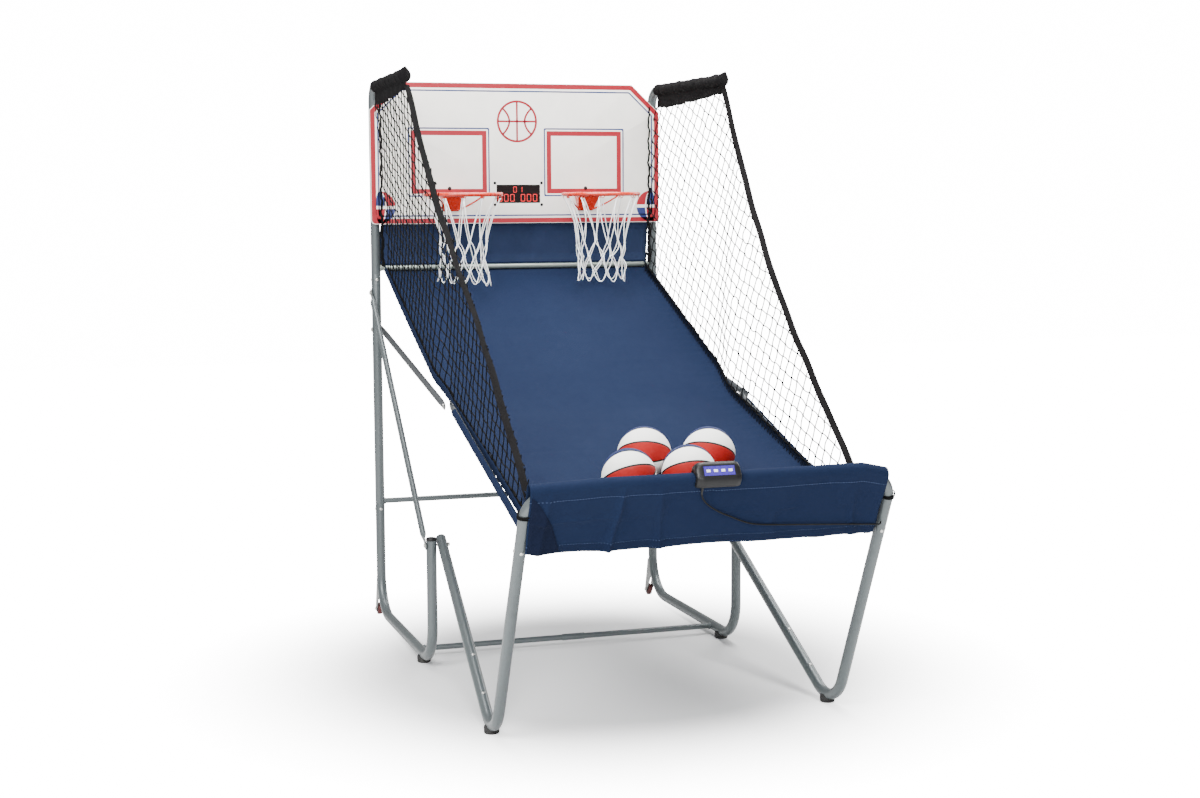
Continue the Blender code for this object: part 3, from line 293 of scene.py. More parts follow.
def turned(profile, centre, axis=(0, 0, 1), sides=32):
    """A profile of (radius, along) turned about an axis through centre; a closed profile makes a ring."""
    profile = np.asarray(profile, float)
    axis = unit(np.asarray(axis, float))
    helper = np.array([1.0, 0, 0]) if abs(axis[0]) < 0.9 else np.array([0, 1.0, 0])
    side = unit(np.cross(axis, helper))
    other = np.cross(axis, side)
    turn = np.linspace(0, 2 * np.pi, sides, endpoint=False)
    spoke = side * np.cos(turn)[:, None] + other * np.sin(turn)[:, None]
    rings = np.asarray(centre) + profile[:, 0, None, None] * spoke + profile[:, 1, None, None] * axis
    cells = [grid_cells(len(profile), sides, around=True)]
    if np.allclose(profile[0], profile[-1]):
        rings = rings[:-1]
        cells = [cells[0] % (len(rings) * sides)]
    else:
        cells.append(end_caps(len(profile), sides))
    return rings.reshape(-1, 3), cells


def bend_path(corners, radii, steps=14):
    """Straight runs between corners, with an arc of its own radius at each inner corner."""
    corners = np.asarray(corners, float)
    runs = [corners[:1]]
    for before, corner, after, radius in zip(corners, corners[1:], corners[2:], radii):
        back, ahead = unit(before - corner), unit(after - corner)
        half = math.acos(float(back @ ahead)) / 2
        turn = math.pi - 2 * half
        centre = corner + unit(back + ahead) * radius / math.sin(half)
        start, end = corner + back * radius / math.tan(half), corner + ahead * radius / math.tan(half)
        share = np.linspace(0, 1, steps)[:, None]
        arm = (start - centre) * np.sin((1 - share) * turn) + (end - centre) * np.sin(share * turn)
        runs.append(centre + arm / math.sin(turn))
    return np.vstack(runs + [corners[-1:]])


def smooth_line(points, count):
    """A smooth curve through the points (Catmull-Rom), read at equal steps of its own length."""
    points = np.asarray(points, float)
    ends = np.vstack([2 * points[0] - points[1], points, 2 * points[-1] - points[-2]])
    t = np.linspace(0, 1, 24, endpoint=False)[:, None]
    p0, p1, p2, p3 = (ends[k:len(ends) - 3 + k, None] for k in range(4))
    fine = 0.5 * (2 * p1 + (p2 - p0) * t + (2 * p0 - 5 * p1 + 4 * p2 - p3) * t ** 2
                  + (3 * p1 - p0 - 3 * p2 + p3) * t ** 3)
    fine = np.vstack([fine.reshape(-1, points.shape[1]), points[-1:]])
    walked = walked_along(fine)
    at = np.linspace(0, walked[-1], count)
    return np.stack([np.interp(at, walked, fine[:, k]) for k in range(points.shape[1])], -1)


def block(centre, size, axes=np.eye(3), bevel=0.0):
    """A box whose edges are cut back by the bevel: its 24 points are the eight corners, each pulled in
    along one axis at a time, and they are joined as the hull of that set."""
    size = np.asarray(size, float) / 2
    signs = np.array([(x, y, z) for x in (-1, 1) for y in (-1, 1) for z in (-1, 1)], float)
    if not bevel:
        points = signs * size
    else:
        points = np.concatenate([signs * (size - bevel * (1 - np.eye(3)[k])) for k in range(3)])
    return hull_of(np.asarray(centre) + points @ np.asarray(axes, float))


def hull_of(points):
    """The convex shape round a few points."""
    bm = bmesh.new()
    for point in points:
        bm.verts.new(point)
    made = bmesh.ops.convex_hull(bm, input=bm.verts)
    spare = set(made["geom_interior"] + made["geom_unused"])
    spare = [v for v in spare if isinstance(v, bmesh.types.BMVert)]
    bmesh.ops.delete(bm, geom=spare)
    bm.verts.index_update()
    triangles = np.array([[v.index for v in f.verts] for f in bm.faces])
    corners = np.array([v.co[:] for v in bm.verts])
    bm.free()
    return corners, [triangles]


def slab(outline, depth, lift):
    """A flat outline (n, 2) of (x, z) made solid: its front stands `lift` before the board's face."""
    outline = np.asarray(outline, float)
    count = len(outline)
    front = place(outline[:, 0], lift + depth, outline[:, 1])
    back = place(outline[:, 0], lift, outline[:, 1])
    cells = grid_cells(2, count, around=True)
    caps = np.stack([np.arange(count), np.arange(count)[::-1] + count])
    return np.vstack([front, back]), [cells, caps]


def band(outer, inner, depth, lift):
    """The flat ring between two closed outlines of the same count, made solid."""
    count = len(outer)
    loops = [(outer, lift + depth), (inner, lift + depth), (inner, lift), (outer, lift)]
    rings = [place(np.asarray(loop)[:, 0], reach, np.asarray(loop)[:, 1]) for loop, reach in loops]
    cells = grid_cells(5, count, around=True) % (4 * count)
    return np.vstack(rings), [cells]


print("helpers ready")


# %% [markdown]
# ## The studio
#
# The machine stands on a plain pale floor. The light is soft and comes mostly from above and from the
# player's left, so cloth folds, tubes and cords all get a gentle gradient and a soft contact shadow. The
# world is a pale even dome, which is what the coated tubes reflect.

# %% Studio
FLOOR_HALF = 14.0
DOME_STRENGTH = 0.50
SEEN_WHITE = 16.0              # how bright the backdrop looks, without lighting the machine
FLOOR_GLOW = (0.0, 16.0)       # the same for the floor, near the machine and far from it
GLOW_FROM = (0.70, 1.90)       # how far out that change starts and ends
LIGHTS = (   # name, place (across, reach, height), aimed at, size, power
    ("key_light", (-3.4, 4.4, 4.4), (0.0, 1.0, 1.0), 3.0, 560.0),
    ("top_light", (0.4, 0.9, 5.0), (0.0, 1.0, 0.8), 3.4, 600.0),
    ("front_light", (-1.1, 8.6, 3.0), (0.0, 1.2, 1.0), 3.0, 280.0),
    ("rim_light", (4.0, -1.4, 3.4), (0.0, 0.8, 1.1), 2.4, 120.0),
)


def seen_only(tree, node, plain, seen):
    """Sets a strength to `plain` for the light it gives and to `seen` where it is looked at directly."""
    path = tree.nodes.new("ShaderNodeLightPath").outputs["Is Camera Ray"]
    span = tree.nodes.new("ShaderNodeMapRange")
    tree.links.new(path, span.inputs["Value"])
    for label, value in (("To Min", plain), ("To Max", seen)):
        if isinstance(value, bpy.types.NodeSocket):
            tree.links.new(value, span.inputs[label])
        else:
            span.inputs[label].default_value = value
    tree.links.new(span.outputs["Result"], node)


def make_floor():
    """A quad whose paint is matt near the machine, where the shadow falls, and glows white further out."""
    corners = np.array([(-1, -1, 0), (1, -1, 0), (1, 1, 0), (-1, 1, 0)]) * FLOOR_HALF
    floor = add_object("floor", mesh_of("floor", corners, [np.array([[0, 1, 2, 3]])]))
    paint = bpy.data.materials.new("pale_floor")
    paint.use_nodes = True
    tree = paint.node_tree
    shader = tree.nodes["Principled BSDF"]
    shader.inputs["Base Color"].default_value = (0.88, 0.88, 0.88, 1)
    shader.inputs["Roughness"].default_value = 0.7
    shader.inputs["Emission Color"].default_value = (1, 1, 1, 1)
    far = tree.nodes.new("ShaderNodeVectorMath")
    far.operation = "LENGTH"
    tree.links.new(tree.nodes.new("ShaderNodeTexCoord").outputs["Object"], far.inputs[0])
    span = tree.nodes.new("ShaderNodeMapRange")
    span.interpolation_type = "SMOOTHSTEP"
    tree.links.new(far.outputs["Value"], span.inputs["Value"])
    for label, value in zip(("From Min", "From Max", "To Min", "To Max"), GLOW_FROM + FLOOR_GLOW):
        span.inputs[label].default_value = value
    seen_only(tree, shader.inputs["Emission Strength"], 0.0, span.outputs["Result"])
    floor.data.materials.append(paint)


def studio():
    """The floor, the square area lights aimed at the machine, and an even world."""
    make_floor()
    for name, at, aim, size, power in LIGHTS:
        data = bpy.data.lights.new(name, "AREA")
        data.size = size
        data.energy = power
        light = add_object(name, data)
        light.location = place(*at)
        light.rotation_euler = Vector(place(*aim) - place(*at)).to_track_quat("-Z", "Y").to_euler()
    world = bpy.data.worlds.new("dome")
    world.use_nodes = True
    background = world.node_tree.nodes["Background"]
    background.inputs["Color"].default_value = (1, 1, 1, 1)
    seen_only(world.node_tree, background.inputs["Strength"], DOME_STRENGTH, SEEN_WHITE)
    bpy.context.scene.world = world


studio()
print("studio:", len(LIGHTS), "soft lights")

# %% [markdown]
# ## Effects that several finishes share
#
# Three small node groups do the work of most of the finishes. `fine_grain` is the orange peel of powder
# coat and the stipple of moulded plastic. `soiling` is the uneven handling that keeps a big plain surface
# from looking like paper. `plain_weave` is cloth: two families of threads that pass over and under.
# Each puts out only heights and masks, so the shader that uses them stays in the material.


# %% Node helpers
def new_group(name, inputs, outputs):
    """An empty shader group with named inputs (label, kind, value) and outputs (label, kind)."""
    group = bpy.data.node_groups.new(name, "ShaderNodeTree")
    for label, kind, value in inputs:
        socket = group.interface.new_socket(label, in_out="INPUT", socket_type="NodeSocket" + kind)
        if value is not None:
            socket.default_value = value
    for label, kind in outputs:
        group.interface.new_socket(label, in_out="OUTPUT", socket_type="NodeSocket" + kind)
    return group, group.nodes.new("NodeGroupInput").outputs, group.nodes.new("NodeGroupOutput").inputs


def feed(tree, socket, value):
    """Links a socket to another, or sets its plain value."""
    if isinstance(value, bpy.types.NodeSocket):
        tree.links.new(value, socket)
    elif value is not None:
        socket.default_value = value


def math_node(tree, operation, *values):
    """A sum, product or other operation on numbers and sockets."""
    node = tree.nodes.new("ShaderNodeMath")
    node.operation = operation
    for socket, value in zip(node.inputs, values):
        feed(tree, socket, value)
    return node.outputs[0]


def noise_node(tree, vector, scale, detail=3.0, roughness=0.5):
    """A noise of 0 to 1 over the vector."""
    node = tree.nodes.new("ShaderNodeTexNoise")
    feed(tree, node.inputs["Vector"], vector)
    feed(tree, node.inputs["Scale"], scale)
    node.inputs["Detail"].default_value = detail
    node.inputs["Roughness"].default_value = roughness
    return node.outputs["Fac"]


def range_node(tree, value, low, high, to_low=0.0, to_high=1.0):
    """Maps low..high to to_low..to_high, clamped."""
    node = tree.nodes.new("ShaderNodeMapRange")
    for socket, number in zip(node.inputs, (value, low, high, to_low, to_high)):
        feed(tree, socket, number)
    return node.outputs[0]


def mix_node(tree, share, first, second):
    """Colour between two colours or colour sockets, by share."""
    node = tree.nodes.new("ShaderNodeMix")
    node.data_type = "RGBA"
    feed(tree, node.inputs["Factor"], share)
    colours = [s for s in node.inputs if s.type == "RGBA"]
    for socket, value in zip(colours, (first, second)):
        feed(tree, socket, (*value, 1) if isinstance(value, tuple) else value)
    return [s for s in node.outputs if s.type == "RGBA"][0]


def split_node(tree, vector):
    """The three parts of a vector."""
    node = tree.nodes.new("ShaderNodeSeparateXYZ")
    feed(tree, node.inputs[0], vector)
    return node.outputs


def make_fine_grain():
    """Height is a fine noise; Shade is the same noise at a quarter of the frequency."""
    group, given, out = new_group("fine_grain", [("Vector", "Vector", None), ("Scale", "Float", 800.0)],
                                  [("Height", "Float"), ("Shade", "Float")])
    feed(group, out["Height"], noise_node(group, given["Vector"], given["Scale"], 2.0))
    slower = math_node(group, "MULTIPLY", given["Scale"], 0.25)
    feed(group, out["Shade"], noise_node(group, given["Vector"], slower, 3.0))
    return group


def make_soiling():
    """Mask is a broad noise times a finer one, pushed up above a threshold: patchy, with soft edges."""
    group, given, out = new_group("soiling", [("Vector", "Vector", None), ("Scale", "Float", 6.0),
                                              ("Threshold", "Float", 0.5)], [("Mask", "Float")])
    broad = noise_node(group, given["Vector"], given["Scale"], 4.0, 0.6)
    finer = noise_node(group, given["Vector"], math_node(group, "MULTIPLY", given["Scale"], 7.0), 4.0, 0.7)
    broad, finer = math_node(group, "MULTIPLY", broad, 0.7), math_node(group, "MULTIPLY", finer, 0.3)
    both = math_node(group, "ADD", broad, finer)
    top = math_node(group, "ADD", given["Threshold"], 0.18)
    feed(group, out["Mask"], range_node(group, both, given["Threshold"], top))
    return group


def make_plain_weave():
    """Threads run along u and v.  Each is a row of humps, |sin| across it, and where sin(u) sin(v) is
    positive the u thread is on top, else the v thread is."""
    group, given, out = new_group("plain_weave", [("Vector", "Vector", None), ("Threads", "Float", 1400.0)],
                                  [("Height", "Float"), ("Shade", "Float")])
    u, v, _ = split_node(group, given["Vector"])
    waves = []
    for direction in (u, v):
        turns = math_node(group, "MULTIPLY", direction, given["Threads"])
        waves.append(math_node(group, "SINE", math_node(group, "MULTIPLY", turns, math.pi)))
    over = math_node(group, "GREATER_THAN", math_node(group, "MULTIPLY", *waves), 0.0)
    humps = [math_node(group, "ABSOLUTE", wave) for wave in waves]
    first = math_node(group, "MULTIPLY", over, humps[0])
    second = math_node(group, "MULTIPLY", math_node(group, "SUBTRACT", 1.0, over), humps[1])
    height = math_node(group, "ADD", first, second)
    feed(group, out["Height"], height)
    slub = noise_node(group, given["Vector"], 90.0, 3.0)
    feed(group, out["Shade"], math_node(group, "ADD", math_node(group, "MULTIPLY", height, 0.35),
                                        math_node(group, "MULTIPLY", slub, 0.65)))
    return group


FINE_GRAIN, SOILING, PLAIN_WEAVE = make_fine_grain(), make_soiling(), make_plain_weave()
print("groups:", FINE_GRAIN.name, SOILING.name, PLAIN_WEAVE.name)

# %% [markdown]
# ## The finishes
#
# A finish is one function with a few words for what differs: its colour, how far that colour wanders, its
# gloss and the depth of its grain. Plain numbers sit on the shader's own sockets. What changes over the
# surface comes from the groups above, read in Object coordinates on hard pieces, and in the piece's own
# map (in metres) on cloth, so that the threads follow the folds.


# %% Finish helpers
def start_finish(name, **plain):
    """A new material, its tree and its shader, with the plain numbers set on the shader."""
    material = bpy.data.materials.new(name)
    material.use_nodes = True
    shader = material.node_tree.nodes["Principled BSDF"]
    for label, value in plain.items():
        shader.inputs[label.replace("_", " ")].default_value = value
    return material, material.node_tree, shader


def use_group(tree, group, **given):
    """The outputs of a shared effect, with the given inputs fed."""
    node = tree.nodes.new("ShaderNodeGroup")
    node.node_tree = group
    for label, value in given.items():
        feed(tree, node.inputs[label], value)
    return node.outputs


def coordinates(tree, kind="Object"):
    """The object's own coordinates, or another kind."""
    return tree.nodes.new("ShaderNodeTexCoord").outputs[kind]


def add_bump(tree, shader, height, depth):
    """Height (0 to 1) times depth in metres, as a bump under the finish."""
    bump = tree.nodes.new("ShaderNodeBump")
    bump.inputs["Strength"].default_value = 1.0
    bump.inputs["Distance"].default_value = depth
    feed(tree, bump.inputs["Height"], height)
    tree.links.new(bump.outputs["Normal"], shader.inputs["Normal"])


def shades(colour, *shares):
    """The colour at some shares of its brightness."""
    return [tuple(c * share for c in colour) for share in shares]


def hard_finish(name, colour, worn, roughness, grain, depth, soiled=0.55, spread=0.12, **plain):
    """Paint, plate or plastic: the colour drifts to `worn` in patches, and the gloss with the grain."""
    material, tree, shader = start_finish(name, **plain)
    here = coordinates(tree)
    fine = use_group(tree, FINE_GRAIN, Vector=here, Scale=grain)
    patch = use_group(tree, SOILING, Vector=here, Scale=5.0, Threshold=soiled)
    tint = mix_node(tree, range_node(tree, fine["Shade"], 0.3, 0.7), colour, *shades(colour, 0.93))
    feed(tree, shader.inputs["Base Color"], mix_node(tree, patch["Mask"], tint, worn))
    gloss = range_node(tree, fine["Shade"], 0.3, 0.7, roughness - spread / 2, roughness + spread / 2)
    feed(tree, shader.inputs["Roughness"], gloss)
    add_bump(tree, shader, fine["Height"], depth)
    return material


def cloth_finish(name, colour, faded, threads=1500.0, depth=0.00018, shine=0.10):
    """Woven cloth: the weave gives the bump and a small change of shade, and the dye fades in patches."""
    material, tree, shader = start_finish(name, Roughness=0.95, Specular_IOR_Level=shine)
    flat = coordinates(tree, "UV")
    weave = use_group(tree, PLAIN_WEAVE, Vector=flat, Threads=threads)
    patch = use_group(tree, SOILING, Vector=flat, Scale=2.2, Threshold=0.45)
    shaded = mix_node(tree, weave["Shade"], *shades(colour, 0.86, 1.14))
    feed(tree, shader.inputs["Base Color"], mix_node(tree, patch["Mask"], shaded, faded))
    add_bump(tree, shader, weave["Height"], depth)
    return material


# %% Finishes
GREY_COAT = hard_finish("grey_powder_coat", (0.096, 0.112, 0.116), (0.075, 0.086, 0.090), 0.36, 520.0,
                        0.00006, Metallic=0.35, Coat_Weight=0.15, Coat_Roughness=0.3)
DARK_COAT = hard_finish("dark_grey_coat", (0.075, 0.082, 0.088), (0.055, 0.060, 0.064), 0.38, 520.0,
                        0.00006, Metallic=0.4)
BRIGHT_ZINC = hard_finish("bright_zinc", (0.26, 0.30, 0.27), (0.20, 0.23, 0.21), 0.34, 300.0, 0.00002,
                          Metallic=0.6)
CASTOR_ZINC = hard_finish("castor_zinc", (0.17, 0.18, 0.175), (0.11, 0.115, 0.11), 0.35, 500.0, 0.00004,
                          Metallic=0.7)
ZINC = hard_finish("zinc_fastener", (0.64, 0.64, 0.61), (0.42, 0.41, 0.38), 0.32, 900.0, 0.00002,
                   Metallic=1.0)
BLACK_STEEL = hard_finish("black_screw", (0.008, 0.008, 0.009), (0.02, 0.02, 0.02), 0.5, 900.0, 0.00002,
                          Specular_IOR_Level=0.2)
BLACK_PLASTIC = hard_finish("black_plastic", (0.006, 0.006, 0.0066), (0.011, 0.011, 0.012), 0.40, 1600.0,
                            0.00006, Specular_IOR_Level=0.28)
RUBBER = hard_finish("black_rubber", (0.014, 0.014, 0.014), (0.035, 0.034, 0.032), 0.72, 700.0, 0.00008)
WHEEL_RED = hard_finish("red_wheel", (0.085, 0.014, 0.013), (0.05, 0.018, 0.017), 0.48, 600.0, 0.00006)
BOARD_WHITE = hard_finish("white_board", (0.87, 0.845, 0.79), (0.82, 0.79, 0.735), 0.36, 60.0, 0.00010,
                          soiled=0.50, Coat_Weight=0.25, Coat_Roughness=0.22)
RED_PRINT = hard_finish("red_print", (0.30, 0.010, 0.020), (0.27, 0.018, 0.026), 0.36, 300.0, 0.00002)
BLUE_PRINT = hard_finish("blue_print", (0.020, 0.030, 0.130), (0.028, 0.040, 0.13), 0.36, 300.0, 0.00002)
ORANGE = hard_finish("orange_enamel", (0.62, 0.030, 0.008), (0.50, 0.026, 0.008), 0.27, 260.0, 0.00006,
                     Coat_Weight=0.4, Coat_Roughness=0.12)
VIOLET = hard_finish("violet_face", (0.050, 0.032, 0.28), (0.065, 0.045, 0.28), 0.28, 400.0, 0.00002)
KEY_WHITE = hard_finish("white_button", (0.84, 0.84, 0.86), (0.70, 0.70, 0.72), 0.4, 900.0, 0.00003)
CORD_BLACK = hard_finish("cord_jacket", (0.005, 0.005, 0.0055), (0.009, 0.009, 0.009), 0.55, 900.0,
                         0.00004, Specular_IOR_Level=0.15)
CIRCUIT = hard_finish("circuit_board", (0.02, 0.12, 0.05), (0.03, 0.10, 0.05), 0.4, 900.0, 0.00002)
SMOKE = hard_finish("smoked_lens", (0.008, 0.005, 0.005), (0.011, 0.007, 0.007), 0.14, 300.0, 0.00001,
                    spread=0.06, Specular_IOR_Level=0.25, Coat_Weight=0.15, Coat_Roughness=0.05)
NAVY = cloth_finish("navy_cloth", (0.0060, 0.0120, 0.0345), (0.0074, 0.0140, 0.0380))
# painted light: a copy of the navy two to three times lighter, so that the rear cloth looks lit where it lies
# in shade under the board
LIT_REAR_NAVY = cloth_finish("faded_navy_cloth", (0.0190, 0.0300, 0.0700), (0.0220, 0.0335, 0.0750))
# painted shade: a darker copy of the navy for the fold over the tray's left end, standing in for the shade on
# the turned gusset
SHADED_FOLD_NAVY = cloth_finish("shaded_navy_cloth", (0.0034, 0.0062, 0.0185), (0.0042, 0.0074, 0.0210))
HEM_NAVY = cloth_finish("navy_hem", (0.0050, 0.0098, 0.0290), (0.0060, 0.0115, 0.0320))
WEBBING = cloth_finish("black_webbing", (0.0036, 0.0033, 0.0036), (0.006, 0.0056, 0.006), 700.0, 0.00035,
                       0.12)
SLEEVE_BLACK = cloth_finish("black_oxford", (0.0040, 0.0036, 0.0040), (0.0066, 0.0060, 0.0066), 1300.0,
                            0.00025, 0.12)
TWINE_BLACK = hard_finish("black_twine", (0.003, 0.003, 0.0033), (0.005, 0.005, 0.0053), 0.85, 2600.0,
                          0.00012, Specular_IOR_Level=0.10)
TWINE_WHITE = hard_finish("white_cord", (0.93, 0.93, 0.92), (0.86, 0.855, 0.84), 0.75, 2200.0, 0.0002,
                          Subsurface_Weight=0.08)
STITCH = hard_finish("navy_stitch", (0.055, 0.09, 0.19), (0.07, 0.10, 0.2), 0.7, 2000.0, 0.0001)


def glow_finish():
    """Lit red segments: a red glow that a fine grain makes a little uneven."""
    material, tree, shader = start_finish("red_digits", Roughness=0.4, Emission_Strength=1.6)
    fine = use_group(tree, FINE_GRAIN, Vector=coordinates(tree), Scale=400.0)
    for label, low, high in (("Base Color", (0.30, 0.01, 0.01), (0.42, 0.015, 0.015)),
                             ("Emission Color", (0.62, 0.018, 0.022), (0.85, 0.03, 0.035))):
        feed(tree, shader.inputs[label], mix_node(tree, fine["Shade"], low, high))
    return material


DIGIT_RED = glow_finish()
print("finishes:", len(bpy.data.materials))

# %% [markdown]
# ## The controller's cord
#
# A thin black lead leaves the underside of the controller, drops down the front of the ball tray and runs
# along its hem into the right front leg. It is short and every part of it shows, so its length is simply
# the length of its route. It is a tube of mesh round a smooth line, because that can carry a strain
# relief at its end.


# %% Cord
WALL_LEAN = math.atan2(TOP_BAR[0] - LEG_CORNER[0], TOP_BAR[1] - LEG_CORNER[1])
CLOTH_FRONT = 0.0212           # outer face of the tray's cloth, out from the top bar's axis
SADDLE = 0.0216
CONTROL_X = -0.005
CORD_R = 0.0025


def on_wall(out, up):
    """(reach, z) of a point told as out from the leaning wall and up along it, from the top bar's axis."""
    return (TOP_BAR[0] + out * math.cos(WALL_LEAN) + up * math.sin(WALL_LEAN),
            TOP_BAR[1] - out * math.sin(WALL_LEAN) + up * math.cos(WALL_LEAN))


CORD_ROUTE = np.array((       # across, out from the wall, up the wall
    (CONTROL_X - 0.049, SADDLE + 0.0065, -0.0064), (-0.054, 0.0299, -0.018), (-0.050, 0.0300, -0.032),
    (-0.040, 0.0296, -0.048), (-0.022, 0.0288, -0.066), (0.000, 0.0280, -0.082), (0.028, 0.0276, -0.099),
    (0.060, 0.0272, -0.114), (0.095, 0.0270, -0.131), (0.130, 0.0270, -0.144), (0.170, 0.0270, -0.151),
    (0.220, 0.0270, -0.155), (0.300, 0.0270, -0.160), (0.380, 0.0270, -0.165), (0.460, 0.0270, -0.170),
    (0.530, 0.0270, -0.175), (0.558, 0.0272, -0.177), (0.573, 0.0278, -0.178), (0.5822, 0.0262, -0.178),
    (0.5868, 0.0214, -0.178), (0.5887, 0.0166, -0.178)))


def make_cord():
    """A round lead along its route; its true length is the length of that route."""
    corners = place(CORD_ROUTE[:, 0], *on_wall(CORD_ROUTE[:, 1], CORD_ROUTE[:, 2]))
    path = smooth_line(corners, 90)
    length = float(np.linalg.norm(np.diff(path, axis=0), axis=1).sum())
    cord = piece("control_cord_lead", swept(path, CORD_R, sides=12), CORD_BLACK, "front_frame",
                 "control_cord")
    return path, length


CORD_PATH, CORD_LENGTH = make_cord()
print("cord: %.3f m" % CORD_LENGTH)


# %% Controller case
CASE_HALF, PLATE_HALF = 0.0732, (0.0504, 0.0154)     # half the case's length; half the key plate's pocket
CASE_TOP = 0.0360                                    # the saddle's roof, up from the top bar's axis
CASE_STEP, POCKET = 0.0004, 0.0070                   # the pocket's wall along the case, and its depth


def round_edges(obj, name, width, angle):
    """A bevel of three segments over the edges that are sharper than the angle in degrees."""
    rounding = obj.modifiers.new(name, "BEVEL")
    rounding.width, rounding.segments, rounding.angle_limit = width, 3, math.radians(angle)


def case_outline(share, pocket):
    """The case's section, (out, up), as a saddle over the cloth.  Its outer points are pulled towards its
    inner ones: inner + (outer - inner) * share.  The pocket sinks the middle of the sloping face."""
    inner_side, top = 0.0194, CASE_TOP
    low, high = np.array((SADDLE + 0.013, top + 0.008)), np.array((SADDLE - 0.017, top + 0.032))
    along = unit(high - low)
    sink = np.array((-along[1], along[0])) * pocket
    centre = (low + high) / 2
    edges = [centre - along * PLATE_HALF[1], centre + along * PLATE_HALF[1]]
    outer = [(SADDLE, 0.004), (SADDLE + 0.013, 0.004), (SADDLE + 0.020, 0.010), (SADDLE + 0.022, 0.020),
             (SADDLE + 0.020, top - 0.001), low, edges[0], edges[0] + sink, edges[1] + sink, edges[1], high,
             (-0.006, top + 0.034), (-0.018, top + 0.028), (-inner_side - 0.006, top + 0.014),
             (-inner_side - 0.007, top - 0.004), (-inner_side - 0.007, -0.010), (-inner_side, -0.010),
             (-inner_side, top), (SADDLE, top)]
    inner = [(SADDLE, 0.004), (SADDLE + 0.002, 0.005), (SADDLE + 0.003, 0.010), (SADDLE + 0.003, 0.020),
             (SADDLE + 0.003, top - 0.001), (SADDLE, top + 0.004), (0.016, top + 0.005),
             (0.016, top + 0.005), (0.010, top + 0.006), (0.010, top + 0.006), (0.004, top + 0.006),
             (-0.006, top + 0.006),
             (-0.014, top + 0.005), (-inner_side - 0.001, top + 0.003), (-inner_side - 0.002, top - 0.004),
             (-inner_side - 0.002, -0.009), (-inner_side, -0.010), (-inner_side, top), (SADDLE, top)]
    return np.array(inner) + (np.array(outer) - np.array(inner)) * share


def make_case():
    """Sections along the case: full over the key plate, then drawn in like a quarter of an ellipse."""
    plate, drawn = PLATE_HALF[0], CASE_HALF - PLATE_HALF[0] - CASE_STEP
    ends = CASE_HALF - drawn * (1 - np.sin(np.linspace(0, np.pi / 2, 9)))
    rows = []
    for x in np.concatenate([-ends[::-1], [-plate, plate], ends]):
        reach = max(abs(x) - plate - CASE_STEP, 0) / drawn
        share = 0.30 + 0.70 * math.sqrt(max(1 - reach ** 2, 0))
        section = case_outline(share, POCKET if abs(x) <= plate else 0.0)
        rows.append(place(CONTROL_X + x, *on_wall(section[:, 0], section[:, 1])))
    count = len(rows[0])
    shell = (np.concatenate(rows), [grid_cells(len(rows), count, around=True), end_caps(len(rows), count)])
    case = piece("controller_shell", shell, BLACK_PLASTIC, "front_frame", "control_case", sharp=40)
    face_out(case.data)
    round_edges(case, "rounded_edges", 0.0016, 32)
    stub = CORD_PATH[walked_along(CORD_PATH) < 0.016]
    radii = np.linspace(0.0042, 0.0029, len(stub) + 1)
    relief = swept(np.vstack([stub[:1] + (stub[:1] - stub[1:2]), stub]), radii, sides=16)
    piece("cord_relief", relief, BLACK_PLASTIC, "front_frame")


make_case()
print("controller case done")

# %% [markdown]
# ## Frame tubes
#
# The frame is 38 mm steel tube bent cold and powder coated grey. Each piece is one circle carried along a
# path of straight runs and arcs, with its end pulled in a little where it meets the next, so that the
# joint reads as a fine dark line. Crossbars are 22 mm tube butted to the posts with a bead of weld.


# %% Tubes of the frame
OUTER_BRACE_Z, STRUT_Z, FOLD_Z = 1.354, 1.203, 0.472      # bolts: outer brace, strut, and fold


def tube_along(path, radius, sides=32):
    """A tube whose ends are pulled in over the last millimetre, as a cut and dressed end is."""
    path = np.asarray(path, float)
    ends = []
    for a, b in ((path[0], path[1]), (path[-1], path[-2])):
        ahead = unit(b - a)
        ends.append([a + ahead * 0.0004, a + ahead * 0.0016])
    whole = np.vstack([path[:1], ends[0], path[1:-1], ends[1][::-1], path[-1:]])
    radii = np.full(len(whole), radius)
    radii[[0, -1]] = radius * 0.95
    radii[[1, -2]] = radius * 0.985
    return swept(whole, radii, sides=sides)


def flat_ended(start, end, radius=BRACE_R, ends=(True, True)):
    """A brace: round along its length, pressed flat and rounded off round its bolts.  Half the thickness
    goes from the radius to 2 mm, while half the width swells to 15.5 mm and falls to a tip past the bolt."""
    start, end = np.asarray(start, float), np.asarray(end, float)
    length = np.linalg.norm(end - start)
    pressed = np.array([(-0.0150, 0.0020, 0.0035), (-0.0140, 0.0020, 0.0085), (-0.0105, 0.0020, 0.0125),
                        (-0.0040, 0.0020, 0.0150), (0.0260, 0.0020, 0.0155), (0.0330, 0.0034, 0.0154),
                        (0.0420, 0.0075, 0.0140), (0.0500, 0.0105, 0.0122), (0.0560, radius, radius)])
    plain = np.array([(0.0, radius * 0.96, radius * 0.96), (0.001, radius, radius)])
    first = pressed if ends[0] else plain
    last = (pressed if ends[1] else plain)[::-1] * (-1, 1, 1) + (length, 0, 0)
    rows = np.vstack([first, last])
    path = start + rows[:, :1] * unit(end - start)
    return swept(path, rows[:, 1], rows[:, 2], sides=28)


